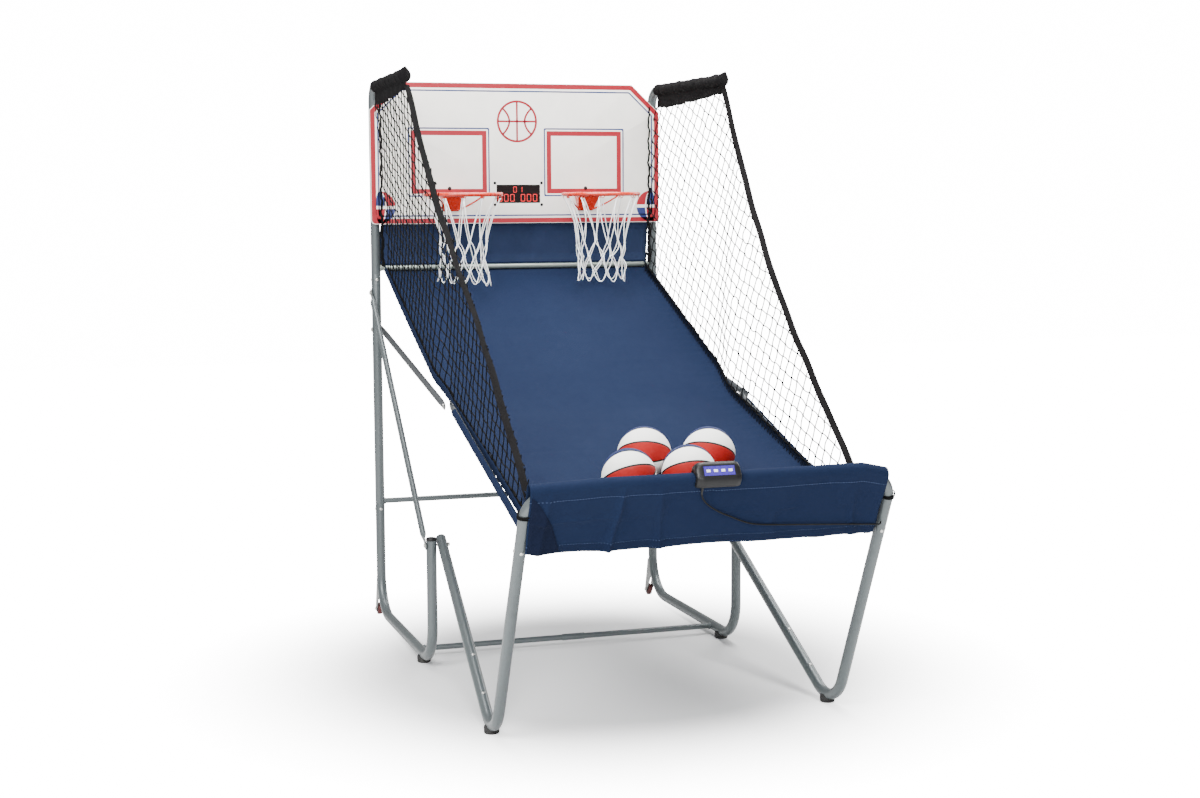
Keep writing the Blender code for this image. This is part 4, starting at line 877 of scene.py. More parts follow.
def make_tubes():
    """Both sides of the frame: each tube's path told by its corners, and each brace by its bolts."""
    for name, side in SIDES:
        x = side * POST_X
        base = bend_path(place([x] * 4, [0, 0, STUB_REACH, STUB_REACH],
                               [LOW_SEAM, RUNNER_Z, RUNNER_Z, STUB_TOP]), (0.160, 0.140))
        post = place([x] * 3, [0] * 3, [LOW_SEAM, 0.95, HIGH_SEAM])
        arm = bend_path(place([x, x, x + side * ARM_SPLAY], [0, 0, ARM_REACH], [HIGH_SEAM, ARM_Z, ARM_Z]),
                        (0.070,))
        arm[-1] += unit(arm[-2] - arm[-1]) * 0.014
        across, reach, top = LEG_TOP
        seam = middle("front_top_bar")[0] + side * TOP_BAR_HALF
        leg = bend_path(place([side * across, x, x, seam], [reach, LEG_CORNER[0], TOP_BAR[0], TOP_BAR[0]],
                              [top, LEG_CORNER[1], TOP_BAR[1], TOP_BAR[1]]), (0.130, 0.100), 20)
        for kind, path, body, node in (("rear_base_", base, "root", "base_tube_"),
                                       ("rear_post_", post, "root", "post_tube_"),
                                       ("net_arm_", arm, "root", "arm_tube_"),
                                       ("front_leg_", leg, "front_frame", "leg_tube_")):
            piece(kind + name, tube_along(path, TUBE_R), GREY_COAT, body, node + name)
        brace_x = side * (POST_X + TUBE_R + GAP + 0.002)
        brace = flat_ended(place(brace_x, 0, OUTER_BRACE_Z), place(brace_x, STUB_REACH, FOLD_Z))
        piece("outer_brace_" + name, brace, GREY_COAT, "root", "side_brace_" + name)
        strut_x = side * (POST_X - TUBE_R - GAP - 0.002)
        strut = flat_ended(place(strut_x, 0, STRUT_Z), place(strut_x, *HINGE))
        piece("fold_strut_" + name, strut, DARK_COAT, "side_struts", "side_strut_" + name)
        hub, joint = place(side * RAIL_X, *LOW_BAR), place(side * RAIL_X, *HINGE)
        rail_start = hub + unit(joint - hub) * (BAR_R + 0.0025)
        eye = turned([(BAR_R + 0.0005, -0.010), (BAR_R + 0.0032, -0.010), (BAR_R + 0.0039, -0.0088),
                      (BAR_R + 0.0039, 0.0088), (BAR_R + 0.0032, 0.010), (BAR_R + 0.0005, 0.010),
                      (BAR_R + 0.0005, -0.010)], hub, (1, 0, 0))
        rail = gather([flat_ended(rail_start, joint, ends=(False, True)), eye])
        piece("fold_rail_" + name, rail, DARK_COAT, "side_rails", "side_rail_" + name)


def weld_bead(centre, radius, axis, grow=0.0032):
    """A small rounded ring of weld round the end of a bar: radius + grow * a hump over 5 mm."""
    t = np.linspace(0, np.pi, 7)
    profile = np.stack([radius - 0.001 + (grow + 0.001) * np.sin(t), 0.0045 * np.cos(t)], -1)
    return turned(np.vstack([profile, profile[:1]]), centre, axis)


def make_bars():
    """Four crossbars with a weld bead at each end, the floor bar with its joining sleeve, and the top bar."""
    inner = POST_X - TUBE_R
    half = inner + 0.0007
    for node, name, finish, body in (("upper_crossbar", "cloth_crossbar", BRIGHT_ZINC, "root"),
                                     ("lower_crossbar", "rear_crossbar", GREY_COAT, "root"),
                                     ("floor_bar", "floor_crossbar", GREY_COAT, "root"),
                                     ("front_low_bar", "tray_bar", DARK_COAT, "front_frame")):
        y, z = middle(node)[1:]
        parts = [tube_along(np.array([(-half, y, z), (0.0, y, z), (half, y, z)]), BAR_R, 24)]
        parts += [weld_bead((side * (inner - 0.0008), y, z), BAR_R, (1, 0, 0)) for _, side in SIDES]
        if node == "floor_bar":
            sleeve = [(BAR_R, 0.045), (BAR_R + 0.0015, 0.0445), (BAR_R + 0.0018, 0.043)]
            sleeve = [(r, -a) for r, a in sleeve] + sleeve[::-1]
            parts.append(turned(sleeve, (0.012, y, z), (1, 0, 0), 24))
        piece(name, gather(parts), finish, body, node)
    y, z = middle("front_top_bar")[1:]
    half = TOP_BAR_HALF - GAP
    top = tube_along(np.array([(-half, y, z), (0.0, y, z), (half, y, z)]), TUBE_R)
    piece("tray_top_bar", top, GREY_COAT, "front_frame", "front_top_bar")


make_tubes()
make_bars()
print("tubes and bars done")

# %% [markdown]
# ## Bolts, caps, feet and castors
#
# Small hardware gives a frame its scale. A bolt head is a six sided profile with its corners turned off,
# on a washer. Caps and feet are turned from a profile, the way a lathe or a round mould makes them.


# %% Hardware
def hex_end(centre, axis, radius=0.0075, height=0.005):
    """A washer, then a head whose section is a hexagon: the top edge is pulled in by a tenth."""
    axis = unit(np.asarray(axis, float))
    washer = turned([(0.002, 0), (radius + 0.0030, 0), (radius + 0.0030, 0.0009), (radius + 0.0024, 0.0013),
                     (0.002, 0.0013)], centre, axis, 28)
    head = turned([(0.001, 0.0012), (radius, 0.0012), (radius, height - 0.0008), (radius * 0.9, height),
                   (0.001, height)], centre, axis, 6)
    return [washer, head]


def dome_end(centre, axis, radius=0.0060, height=0.0030):
    """A round screw head: radius cos(t), height sin(t), with a small dimple left at the middle."""
    t = np.linspace(0, np.pi / 2 - 0.25, 7)
    profile = np.stack([radius * np.cos(t), height * np.sin(t)], -1)
    foot = np.array([(radius * 0.96, -0.0006)])
    dimple = np.array([(radius * 0.22, height * 0.62), (0.0002, height * 0.55)])
    return [turned(np.vstack([foot, profile, dimple]), centre, axis, 20)]


def make_hardware():
    """Screws and bolts of each side, gathered by the body that they turn with."""
    post_face, strut_face = POST_X + TUBE_R, POST_X - TUBE_R - GAP
    for name, side in SIDES:
        out, inward = (side, 0, 0), (-side, 0, 0)
        fixed = []
        for z in (LOW_SEAM - 0.022, HIGH_SEAM - 0.022):
            fixed += dome_end(place(side * post_face, 0, z), out)
            fixed += dome_end(place(side * POST_X, TUBE_R, z), (0, -1, 0))
        for reach, z in ((0, OUTER_BRACE_Z), (STUB_REACH, FOLD_Z)):
            fixed += hex_end(place(side * (post_face + 0.0045), reach, z), out)
        pivot = place(side * (LEG_TOP[0] - TUBE_R), STUB_REACH, FOLD_Z)
        fixed += hex_end(pivot, inward, 0.0065, 0.0070)
        shank = np.stack([pivot, place(side * (post_face + 0.004), STUB_REACH, FOLD_Z)])
        fixed.append(swept(shank, 0.004, sides=16))
        strutted = hex_end(place(side * (post_face + 0.0004), 0, STRUT_Z), out)
        strutted += hex_end(place(side * (strut_face - 0.004), 0, STRUT_Z), inward, 0.0065)
        strutted += hex_end(place(side * strut_face, *HINGE), out, 0.0065)
        nut = hex_end(place(side * (RAIL_X - 0.0022), *HINGE), inward, 0.0065)
        screws = [part for spot, way in on_leg(side) for part in dome_end(spot, way)]
        piece("hinge_nut_" + name, gather(nut), ZINC, "side_rails")
        piece("pivot_bolt_" + name, gather(fixed), ZINC, "root", "fold_bolt_" + name)
        piece("strut_bolt_" + name, gather(strutted), ZINC, "side_struts")
        piece("leg_screws_" + name, gather(screws), ZINC, "front_frame")


def on_leg(side):
    """Screw places on the front leg: outer face at the low bar, and two on the front of the rear run."""
    low = place(side * (POST_X + TUBE_R), *LOW_BAR)
    start, end = place(side * LEG_TOP[0], *LEG_TOP[1:]), place(side * POST_X, *LEG_CORNER)
    ahead = unit(end - start)
    up = unit(np.cross(ahead, (side, 0, 0)) * -side)
    if up[2] < 0:
        up = -up
    spots = [(low, (side, 0, 0)), (place(side * POST_X, *LOW_BAR) + wall_out() * TUBE_R, wall_out())]
    return spots + [(start + ahead * s + up * TUBE_R, up) for s in (0.66, 0.85)]


def wall_out():
    """The direction that the leaning front wall faces."""
    return np.array([0.0, -math.cos(WALL_LEAN), -math.sin(WALL_LEAN)])


CAP = [(0.0165, -0.004), (0.0186, -0.004), (0.0200, 0.0002), (0.0202, 0.0030), (0.0194, 0.0062),
       (0.0165, 0.0088), (0.0110, 0.0102), (0.0050, 0.0107), (0.0004, 0.0108)]
FOOT = [(0.0004, 0.0), (0.0215, 0.0), (0.0240, 0.0012), (0.0254, 0.0040), (0.0260, 0.0080),
        (0.0248, 0.0094), (0.0248, 0.0108), (0.0260, 0.0122), (0.0258, 0.0200), (0.0248, 0.0250),
        (0.0230, 0.0275), (0.0205, 0.0285), (0.0160, 0.0280)]
WHEEL_SIDE = [(0.0046, 0.0090), (0.0080, 0.0090), (0.0086, 0.0072), (0.0185, 0.0072), (0.0192, 0.0086),
              (0.0222, 0.0088)]


def make_caps_and_feet():
    """Turned plugs, cups and wheels.  The tread is R - 2.8 mm v^6 for v from -1 to 1 across it."""
    for name, side in SIDES:
        plug = turned(CAP, place(side * POST_X, STUB_REACH, STUB_TOP), sides=40)
        piece("stub_plug_" + name, plug, BLACK_PLASTIC, "root", "stub_cap_" + name)
        for node, body in (("base_foot_" + name, "root"), ("leg_foot_" + name, "front_frame")):
            x, y, _ = middle(node)
            piece(node + "_cup", turned(FOOT, (x, y, 0.0), sides=44), RUBBER, body, node)
        tread = [(0.0250 - 0.0028 * v ** 6, 0.0088 * v) for v in np.linspace(-1, 1, 9)]
        profile = [(r, -a) for r, a in WHEEL_SIDE] + tread + WHEEL_SIDE[::-1]
        centre = np.array((side * POST_X, *middle("castor_wheel_" + name)[1:]))
        parts = [turned(profile + profile[:1], centre, (1, 0, 0), 48)]
        for angle in np.linspace(0, 2 * np.pi, 6, endpoint=False):
            out = np.array([0, math.cos(angle), math.sin(angle)])
            axes = (np.array([1.0, 0, 0]), out, np.cross((1.0, 0, 0), out))
            for face in (-1, 1):
                spot = centre + (face * 0.0078, 0, 0) + out * 0.0135
                parts.append(block(spot, (0.0014, 0.0100, 0.0026), axes))
        piece("wheel_" + name + "_tyre", gather(parts), WHEEL_RED, "wheel_" + name, "castor_wheel_" + name)
        nuts = [part for face in (-1, 1)
                for part in hex_end(centre + (face * 0.0142, 0, 0), (face, 0, 0), 0.0055, 0.0045)]
        piece("axle_nuts_" + name, gather(nuts), ZINC, "root")


make_hardware()
make_caps_and_feet()
print("hardware done")

# %% [markdown]
# ## The backboard and its print
#
# The board is a white coated panel with a printed border, two target boxes, a ball outline in the middle
# and half balls in its lower corners. Its face is one flat ring of cells between the outline and the
# scoreboard's window. Every print is a separate film a fifth of a millimetre proud of it, which keeps
# each colour's edge crisp from any distance.


# %% Outlines
def rounded_outline(corners, radii, steps=8):
    """A closed outline with an arc at each corner (radius 0 keeps it sharp), in the corners' own order."""
    corners = np.asarray(corners, float)
    runs = []
    last, ahead = np.roll(corners, 1, 0), np.roll(corners, -1, 0)
    for before, corner, after, radius in zip(last, corners, ahead, radii):
        if radius == 0:
            runs.append(corner[None])
            continue
        runs.append(bend_path([before, corner, after], (radius,), steps)[1:-1])
    return np.vstack(runs)


def inset(corners, distance):
    """A convex outline drawn in: each side moves inwards by the distance and the sides are met again."""
    corners = np.asarray(corners, float)
    along = unit(np.roll(corners, -1, 0) - corners)
    inward = np.stack([-along[:, 1], along[:, 0]], -1)
    inward *= np.sign(np.sum(inward * (corners.mean(0) - corners), axis=1, keepdims=True))
    start = corners + inward * distance
    last, last_along = np.roll(start, 1, 0), np.roll(along, 1, 0)
    gap = start - last
    share = (gap[:, 0] * along[:, 1] - gap[:, 1] * along[:, 0]) / (
        last_along[:, 0] * along[:, 1] - last_along[:, 1] * along[:, 0])
    return last + last_along * share[:, None]


def rectangle(x_low, x_high, z_low, z_high):
    """Its four corners."""
    return np.array([(x_low, z_low), (x_high, z_low), (x_high, z_high), (x_low, z_high)], float)


def seen_from(centre, outline, angles):
    """Where a ray from centre at each angle leaves a closed outline."""
    start = outline - centre
    side = np.roll(outline, -1, 0) - outline
    ray = np.stack([np.cos(angles), np.sin(angles)], -1)[:, None]
    cross = ray[..., 0] * side[:, 1] - ray[..., 1] * side[:, 0]
    cross = np.where(np.abs(cross) < 1e-12, 1e-12, cross)
    far = (start[:, 0] * side[:, 1] - start[:, 1] * side[:, 0]) / cross
    share = (start[:, 0] * ray[..., 1] - start[:, 1] * ray[..., 0]) / cross
    hit = (far > 0) & (share > -1e-9) & (share < 1 + 1e-9)
    return centre + ray[:, 0] * np.where(hit, far, np.inf).min(1)[:, None]


BOARD_CORNERS = np.array([(-BOARD_HALF, BOARD_LOW), (BOARD_HALF, BOARD_LOW), (BOARD_HALF, 2.096),
                          (0.500, BOARD_HIGH), (-0.500, BOARD_HIGH), (-BOARD_HALF, 2.096)])
BOARD_RADII = (0.018, 0.018, 0.006, 0.006, 0.006, 0.006)
WINDOW = rectangle(-0.0939, 0.0939, 1.7176, 1.7934)
FILM = 0.0002
BLUE_LINE = 0.0056


def make_board():
    """Face, edge and back between the rays that pass through every corner of the outline and the window."""
    centre = WINDOW.mean(0)
    outline = rounded_outline(BOARD_CORNERS, BOARD_RADII)
    spots = np.vstack([outline, WINDOW]) - centre
    angles = np.unique(np.round(np.arctan2(spots[:, 1], spots[:, 0]), 9))
    loops, edge = [], 0.0012
    back = BOARD_FRONT - 0.012
    for shrink, reach in ((0, back + edge), (0, BOARD_FRONT - edge), (edge * 0.3, BOARD_FRONT - edge * 0.3),
                          (edge, BOARD_FRONT)):
        rim = seen_from(centre, rounded_outline(inset(BOARD_CORNERS, shrink), BOARD_RADII), angles)
        loops.append(place(rim[:, 0], reach, rim[:, 1]))
    hole = seen_from(centre, WINDOW, angles)
    loops.append(place(hole[:, 0], BOARD_FRONT, hole[:, 1]))
    loops.append(place(hole[:, 0], back, hole[:, 1]))
    rim = seen_from(centre, rounded_outline(inset(BOARD_CORNERS, edge), BOARD_RADII), angles)
    loops.append(place(rim[:, 0], back, rim[:, 1]))
    count = len(angles)
    cells = grid_cells(len(loops) + 1, count, around=True) % (len(loops) * count)
    piece("backboard_panel", (np.vstack(loops), [cells]), BOARD_WHITE, "root", "backboard")


def film_band(outer, inner):
    """A printed line between two outlines of the same count."""
    return band(outer, inner, FILM, BOARD_FRONT)


def line_of(corners, distance, width, radii):
    """A printed line that follows the outline, `distance` inside it and `width` wide."""
    return film_band(rounded_outline(inset(corners, distance), radii),
                     rounded_outline(inset(corners, distance + width), radii))


def disc(x, z, radius):
    """A circle's outline."""
    turn = np.linspace(0, 2 * math.pi, 96, endpoint=False)
    return np.stack([x + radius * np.cos(turn), z + radius * np.sin(turn)], -1)


def stroke(points, width):
    """A printed line of even width along a curve: each point moved half the width to both sides."""
    points = np.asarray(points, float)
    steps = unit(np.gradient(points, axis=0))
    normal = np.stack([-steps[:, 1], steps[:, 0]], -1) * width / 2
    return strip(points + normal, points - normal)


def strip(first, second):
    """A film between two open lines of the same count."""
    count = len(first)
    front = BOARD_FRONT + FILM
    rings = [place(first[:, 0], BOARD_FRONT, first[:, 1]), place(first[:, 0], front, first[:, 1]),
             place(second[:, 0], front, second[:, 1]), place(second[:, 0], BOARD_FRONT, second[:, 1])]
    cells = grid_cells(5, count) % (4 * count)
    ends = np.array([[0, 1, 2, 3], [3, 2, 1, 0]]) * count + np.array([[0], [count - 1]])
    return np.vstack(rings), [cells, ends]


def corner_ball(side):
    """Half a ball at the board's lower corner, cut off by the border: panels in red and blue between white
    seams.  Returns the red films and the blue films."""
    x, z, radius, limit = side * 0.586, 1.702, 0.066, 0.6035
    rows = np.linspace(-0.97, 0.97, 41)

    def wedge(low, high, inner, outer):
        """The panel between two shares of the half width, for rows from low to high."""
        level = rows[(rows >= low) & (rows <= high)]
        span = radius * np.sqrt(1 - level ** 2)
        lines = [side * np.minimum(side * (x - side * span * share), limit) for share in (inner, outer)]
        return strip(*(np.stack([line, z + level * radius], -1) for line in lines))

    red = [wedge(0.05, 0.97, 0.42, 1.0), wedge(-0.97, -0.05, -0.24, 0.34)]
    blue = [wedge(-0.97, -0.05, 0.42, 1.0), wedge(0.05, 0.97, -0.24, 0.34)]
    return red, blue


def make_prints():
    """The border, the target boxes, the ball outline (its side seams are parabolas) and the corner balls."""
    soft = (0.012, 0.012, 0.010, 0.010, 0.010, 0.010)
    red = [film_band(rounded_outline(inset(BOARD_CORNERS, 0.0022), (0.016, 0.016, 0.006, 0.006, 0.006, 0.006)),
                     rounded_outline(inset(BOARD_CORNERS, 0.0215), soft))]
    blue = [line_of(BOARD_CORNERS, 0.0300, BLUE_LINE, soft)]
    for x_low, x_high in ((-0.453, -0.134), (0.124, 0.451)):
        outer = rectangle(x_low, x_high, 1.757, 2.015)
        red.append(film_band(outer, inset(outer, 0.0195)))
        blue.append(line_of(inset(outer, -0.0120), 0.0, BLUE_LINE, (0.006,) * 4))
    x, z = -0.003, 2.054
    ring = [film_band(disc(x, z, 0.0865), disc(x, z, 0.0775))]
    t = np.linspace(-1, 1, 25)
    seams = [(0.079 * t, 0 * t), (0 * t, 0.079 * t)]
    seams += [(way * (0.033 + 0.028 * t ** 2), 0.0525 * t) for way in (-1, 1)]
    ring += [stroke(np.stack([x + across, z + up], -1), 0.0078) for across, up in seams]
    for _, side in SIDES:
        reds, blues = corner_ball(side)
        red += reds
        blue += blues
    piece("board_print_red", gather(red + ring), RED_PRINT, "root")
    piece("board_print_blue", gather(blue), BLUE_PRINT, "root")


def make_board_screws():
    """Round black heads: four at the window's corners, and two columns at each hoop's bracket."""
    spots = [(x, z, 0.0062) for x in (-0.1005, 0.1005) for z in (1.7105, 1.8005)]
    spots += [(side * (HOOP_X + 0.003), z, 0.0078) for _, side in SIDES for z in (1.7785, 1.6640)]
    heads = []
    for x, z, radius in spots:
        heads += dome_end(place(x, BOARD_FRONT, z), (0, -1, 0), radius, 0.0032)
    piece("board_screws", gather(heads), BLACK_STEEL, "root")


make_board()
make_prints()
make_board_screws()
print("board and prints done")

# %% [markdown]
# ## The scoreboard
#
# A smoked window with lit red numerals: two small digits for the time over two scores of three. Each
# numeral is up to six thin bars with pointed ends, so they are cut as outlines and lit from the material.


# %% Scoreboard
SEGMENTS = {"0": "abcdef", "1": "bc"}


def bar_outline(start, end, half):
    """A bar with pointed ends between two points."""
    start, end = np.asarray(start, float), np.asarray(end, float)
    ahead = unit(end - start)
    side = np.array([-ahead[1], ahead[0]]) * half
    inner = ahead * half
    return np.array([start, start + inner + side, end - inner + side, end, end - inner - side,
                     start + inner - side])


def numeral(character, x, z, height):
    """Bars between the six points of a grid one wide and two tall; each digit lights its own."""
    nodes = {"a": ((0, 2), (1, 2)), "b": ((1, 2), (1, 1)), "c": ((1, 1), (1, 0)), "d": ((0, 0), (1, 0)),
             "e": ((0, 1), (0, 0)), "f": ((0, 2), (0, 1))}
    size = np.array([height * 0.56, height / 2])
    made = []
    for key in SEGMENTS[character]:
        start, end = (np.array(node) * size + (x, z) for node in nodes[key])
        made.append(slab(bar_outline(start, end, height * 0.050), FILM, BOARD_FRONT + 0.0011))
    return made


def make_scoreboard():
    """The smoked window, its narrow frame, and the lit numerals just before it."""
    window = rounded_outline(rectangle(-0.0933, 0.0933, 1.7182, 1.7928), (0.003,) * 4)
    outer = rounded_outline(rectangle(-0.0938, 0.0938, 1.7177, 1.7933), (0.0035,) * 4)
    inner = rounded_outline(rectangle(-0.0905, 0.0905, 1.7210, 1.7900), (0.0030,) * 4)
    piece("score_window", slab(window, 0.0036, BOARD_FRONT - 0.0028), SMOKE, "root", "score_lens")
    piece("score_bezel", band(outer, inner, 0.0013, BOARD_FRONT - 0.002), BLACK_PLASTIC, "root")
    lit = []
    for index, character in enumerate("01"):
        lit += numeral(character, -0.0210 + index * 0.0240, 1.7620, 0.0225)
    for first in (-0.0865, 0.0115):
        for index in range(3):
            lit += numeral("0", first + index * 0.0262, 1.7250, 0.0280)
    piece("score_numerals", gather(lit), DIGIT_RED, "root")


make_scoreboard()
print("scoreboard done")

# %% [markdown]
# ## Hoops
#
# Each hoop is bent from 14 mm rod, welded to a folded bracket, and held by two thin stays. Under the rod
# is a row of small wire eyes for the net. The bracket is a hull of its folds with its edges rounded over,
# because pressed sheet never has a knife edge.


# %% Hoops
def ring_of(centre, ring_r, rod_r, sides=96, around=16):
    """A torus: a circle of radius rod_r turned about the hoop's axis at ring_r."""
    turn = np.linspace(0, 2 * np.pi, around + 1)
    return turned(np.stack([ring_r + rod_r * np.cos(turn), rod_r * np.sin(turn)], -1), centre, sides=sides)


def on_hoop(side, angle, radius, z):
    """Points round a hoop: angle 0 is towards the player."""
    return place(side * HOOP_X + radius * np.sin(angle), HOOP_REACH + radius * np.cos(angle), z)


def bracket_of(side):
    """A folded bracket: wide at the ring, narrow at its foot, with a sloping front."""
    x, front = side * HOOP_X, BOARD_FRONT + 0.0004
    top, rear_reach, low = HOOP_Z + 0.0045, 0.0975, HOOP_Z - 0.067
    corners = []
    for half, reach, z in ((0.0475, front, top), (0.0475, rear_reach, top),
                           (0.0475, rear_reach, HOOP_Z - 0.004), (0.0325, front, low),
                           (0.0325, front + 0.008, low)):
        corners += [place(x - half, reach, z), place(x + half, reach, z)]
    return hull_of(np.array(corners))


HOOK_COUNT = 12
HOOK_ANGLES = (np.arange(HOOK_COUNT) + 0.5) * 2 * np.pi / HOOK_COUNT
STAY_ANGLE = math.radians(46.8)            # where the stays meet the ring, from its rear
ROD_GROWN = 1.12                           # the rod with its thick enamel


def make_hoops():
    """Each ring with its two stays, its folded bracket, and half rings of wire under it as eyes."""
    for name, side in SIDES:
        centre = place(side * HOOP_X, HOOP_REACH, HOOP_Z)
        bracket = piece("hoop_bracket_" + name, bracket_of(side), ORANGE, "root")
        round_edges(bracket, "rounded_folds", 0.0022, 30)
        parts = [ring_of(centre, RING_R, ROD_R * ROD_GROWN)]
        grip = RING_R + 0.001
        for way in (-1, 1):
            start = place(side * HOOP_X + way * 0.022, BOARD_FRONT + 0.007, HOOP_Z - 0.061)
            bend = place(side * HOOP_X + way * 0.040, BOARD_FRONT + 0.030, HOOP_Z - 0.056)
            end = place(side * HOOP_X + way * grip * math.sin(STAY_ANGLE),
                        HOOP_REACH - grip * math.cos(STAY_ANGLE), HOOP_Z - 0.004)
            stay = smooth_line([start, bend, (bend + end) / 2 - (0, 0, 0.003), end], 16)
            parts.append(swept(stay, 0.0035, sides=12))
        t = np.linspace(0, np.pi, 9)
        eyes = [swept(on_hoop(side, angle - 0.0085 / RING_R * np.cos(t), RING_R,
                              HOOP_Z - ROD_R + 0.0015 - 0.0095 * np.sin(t)),
                      0.0014, sides=8, reference=(0.3, 0.2, 1)) for angle in HOOK_ANGLES]
        piece("hoop_ring_" + name, gather(parts), ORANGE, "root", "hoop_rim_" + name)
        piece("hoop_eyes_" + name, gather(eyes), ORANGE, "root")


make_hoops()
print("hoops done")

# %% [markdown]
# ## Hoop nets
#
# The nets are knotted white braid. Two strands leave each eye, meet their neighbours at a knot, part and
# meet again three times, and end in short loops. The strands are limp, so between knots each one bows
# outward or inward a little, and no two are alike: the offsets come from one seeded generator.


# %% Hoop nets
NET_ROWS = ((1.7375, 0.1500, 0.5), (1.5600, 0.0985, 0.0), (1.4960, 0.0900, 0.5), (1.4400, 0.0960, 0.0))
NET_CORD_R = 0.0020


def strand(start, end, bow, steps=8):
    """A limp cord between two knots: the straight line plus bow * 4 s (1 - s)."""
    s = np.linspace(0, 1, steps)[:, None]
    line = start + (end - start) * s + bow * 4 * s * (1 - s)
    return swept(line, NET_CORD_R, sides=7, reference=(0.4, 0.7, 0.2))


def knot(centre, radius, axis):
    """A small overhand knot: a squat round of six rows with a waist."""
    t = np.linspace(-1.35, 1.35, 6)
    profile = np.stack([radius * np.cos(t) * (1 + 0.18 * np.cos(4 * t)), radius * 1.25 * np.sin(t)], -1)
    return turned(profile, centre, axis, 8)


def make_hoop_nets():
    """Knots on rings of their own height and radius, each moved a little, with strands between rings."""
    for name, side in SIDES:
        rows = []
        for z, radius, shift in NET_ROWS:
            angle = (np.arange(HOOK_COUNT) + shift) * 2 * np.pi / HOOK_COUNT
            angle = angle + RANDOM.normal(0, 0.06 if z < 1.7 else 0.0, HOOK_COUNT)
            level = z + RANDOM.normal(0, 0.009 if z < 1.7 else 0.0, HOOK_COUNT)
            around = radius * (1 + RANDOM.normal(0, 0.05 if z < 1.7 else 0.0, HOOK_COUNT))
            rows.append(on_hoop(side, angle, around, level))
        parts = []
        centre = place(side * HOOP_X, HOOP_REACH, 0)
        for level in range(3):
            upper, lower = rows[level], rows[level + 1]
            shift = (0, 1) if NET_ROWS[level][2] > 0 else (-1, 0)
            for way in shift:
                ends = np.roll(lower, -way, 0)
                for start, end in zip(upper, ends):
                    outward = (start + end) / 2 - centre
                    outward[2] = 0
                    sag = unit(outward) * RANDOM.normal(0.003 if level else -0.010, 0.004)
                    sideways = np.cross(unit(outward), (0, 0, 1)) * RANDOM.normal(0, 0.004)
                    parts.append(strand(start, end, sag + sideways))
        last = rows[3]
        for index in range(HOOK_COUNT):
            start, end = last[index], last[(index + 1) % HOOK_COUNT]
            middle_point = (start + end) / 2
            outward = middle_point - centre
            outward[2] = 0
            drop = RANDOM.uniform(0.030, 0.046)
            dip = np.array([0, 0, -drop]) + unit(outward) * RANDOM.normal(0.006, 0.004)
            parts.append(strand(start, end, dip, 13))
        for level in (1, 2, 3):
            for point in rows[level]:
                parts.append(knot(point, 0.0039, RANDOM.normal(0, 0.35, 3) + (0, 0, 1)))
        for point in rows[0]:
            parts.append(knot(point - (0, 0, 0.003), 0.0034, (0, 0, 1)))
        piece("hoop_netting_" + name, gather(parts), TWINE_WHITE, "root", "hoop_net_" + name, sharp=60)


make_hoop_nets()
print("hoop nets done")

# %% [markdown]
# ## Cloth
#
# Three large sheets of navy polyester make the alley: the ramp, the rear cloth behind the hoops and the
# leaning wall that keeps the balls in. The rear cloth's navy is made lighter than the others, as painted
# light. They are stretched between bars, so they hang in broad shallow waves with a few sharp creases
# where they were folded in the box. Small cuts of the same cloth go round the rails and into the tray's
# corners, and a darker copy of it, which is painted shade, lies over the tray's left end. Each is a grid
# of points over its flat cut.
# The creases are moved straight into the grid, which gives the same result on every run and keeps the
# cloth exactly between its bars.


# %% Cloth helpers
CLOTH_THICK = 0.0012


def cloth(name, grid, flat, material, body, stands_for=(), thick=CLOTH_THICK):
    """A sheet from a (rows, columns, 3) grid of points and its (rows, columns, 2) flat map, given a wall."""
    shape = (grid.reshape(-1, 3), [grid_cells(*grid.shape[:2])])
    sheet = piece(name, shape, material, body, stands_for, flat=flat.reshape(-1, 2), sharp=75)
    wall = sheet.modifiers.new("cloth_wall", "SOLIDIFY")
    wall.thickness = thick
    wall.offset = 0.0
    return sheet


def follow_both(obj, reach=0.0, z=1.45):
    """Bakes the piece's placement into its mesh.  The places at this reach and height and at the low bar are
    worked out and left unused, so nothing here ties the piece to either frame."""
    tuple(place(0, reach, z))
    tuple(place(0, *LOW_BAR))
    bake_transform(obj)


def ridge(t, at, width):
    """A soft fold: 1 at `at`, falling to 0 like exp(-((t - at) / width)^2)."""
    return np.exp(-((t - at) / width) ** 2)


def pinch(t, at, width):
    """A sharp crease: exp(-|t - at| / width)."""
    return np.exp(-np.abs(t - at) / width)


def ripple(u, v, waves, seed):
    """A few slow waves added up, each with its own direction and phase from a seeded generator."""
    source = np.random.default_rng(seed)
    total = np.zeros(np.broadcast(u, v).shape)
    for count_u, count_v, size in waves:
        phase = source.uniform(0, 2 * np.pi)
        total = total + size * np.sin(2 * np.pi * (count_u * u + count_v * v) + phase)
    return total


def edge_hold(t, power=2):
    """0 at both ends of 0..1 and 1 in between, so that a sheet stays on its bars."""
    return 1 - np.abs(2 * t - 1) ** (2 * power)


# %% Ramp
RAMP_HALF = (0.5645, 0.5425)    # behind the kink, and beside the rails
RAMP_LINE = np.array([(-0.0049, 1.4437), KINK, (LOW_BAR[0] + 0.0031, LOW_BAR[1] + 0.0117)])


def ramp_height(reach):
    """Height of the ramp's middle surface at a reach."""
    return np.interp(reach, RAMP_LINE[:, 0], RAMP_LINE[:, 1])


def ramp_edge(reach):
    """Half the ramp's width at a reach: it narrows over 20 cm where the rails come up beside it."""
    share = np.clip((np.asarray(reach, float) - 0.86) / 0.20, 0, 1)
    return RAMP_HALF[0] + (RAMP_HALF[1] - RAMP_HALF[0]) * share * share * (3 - 2 * share)


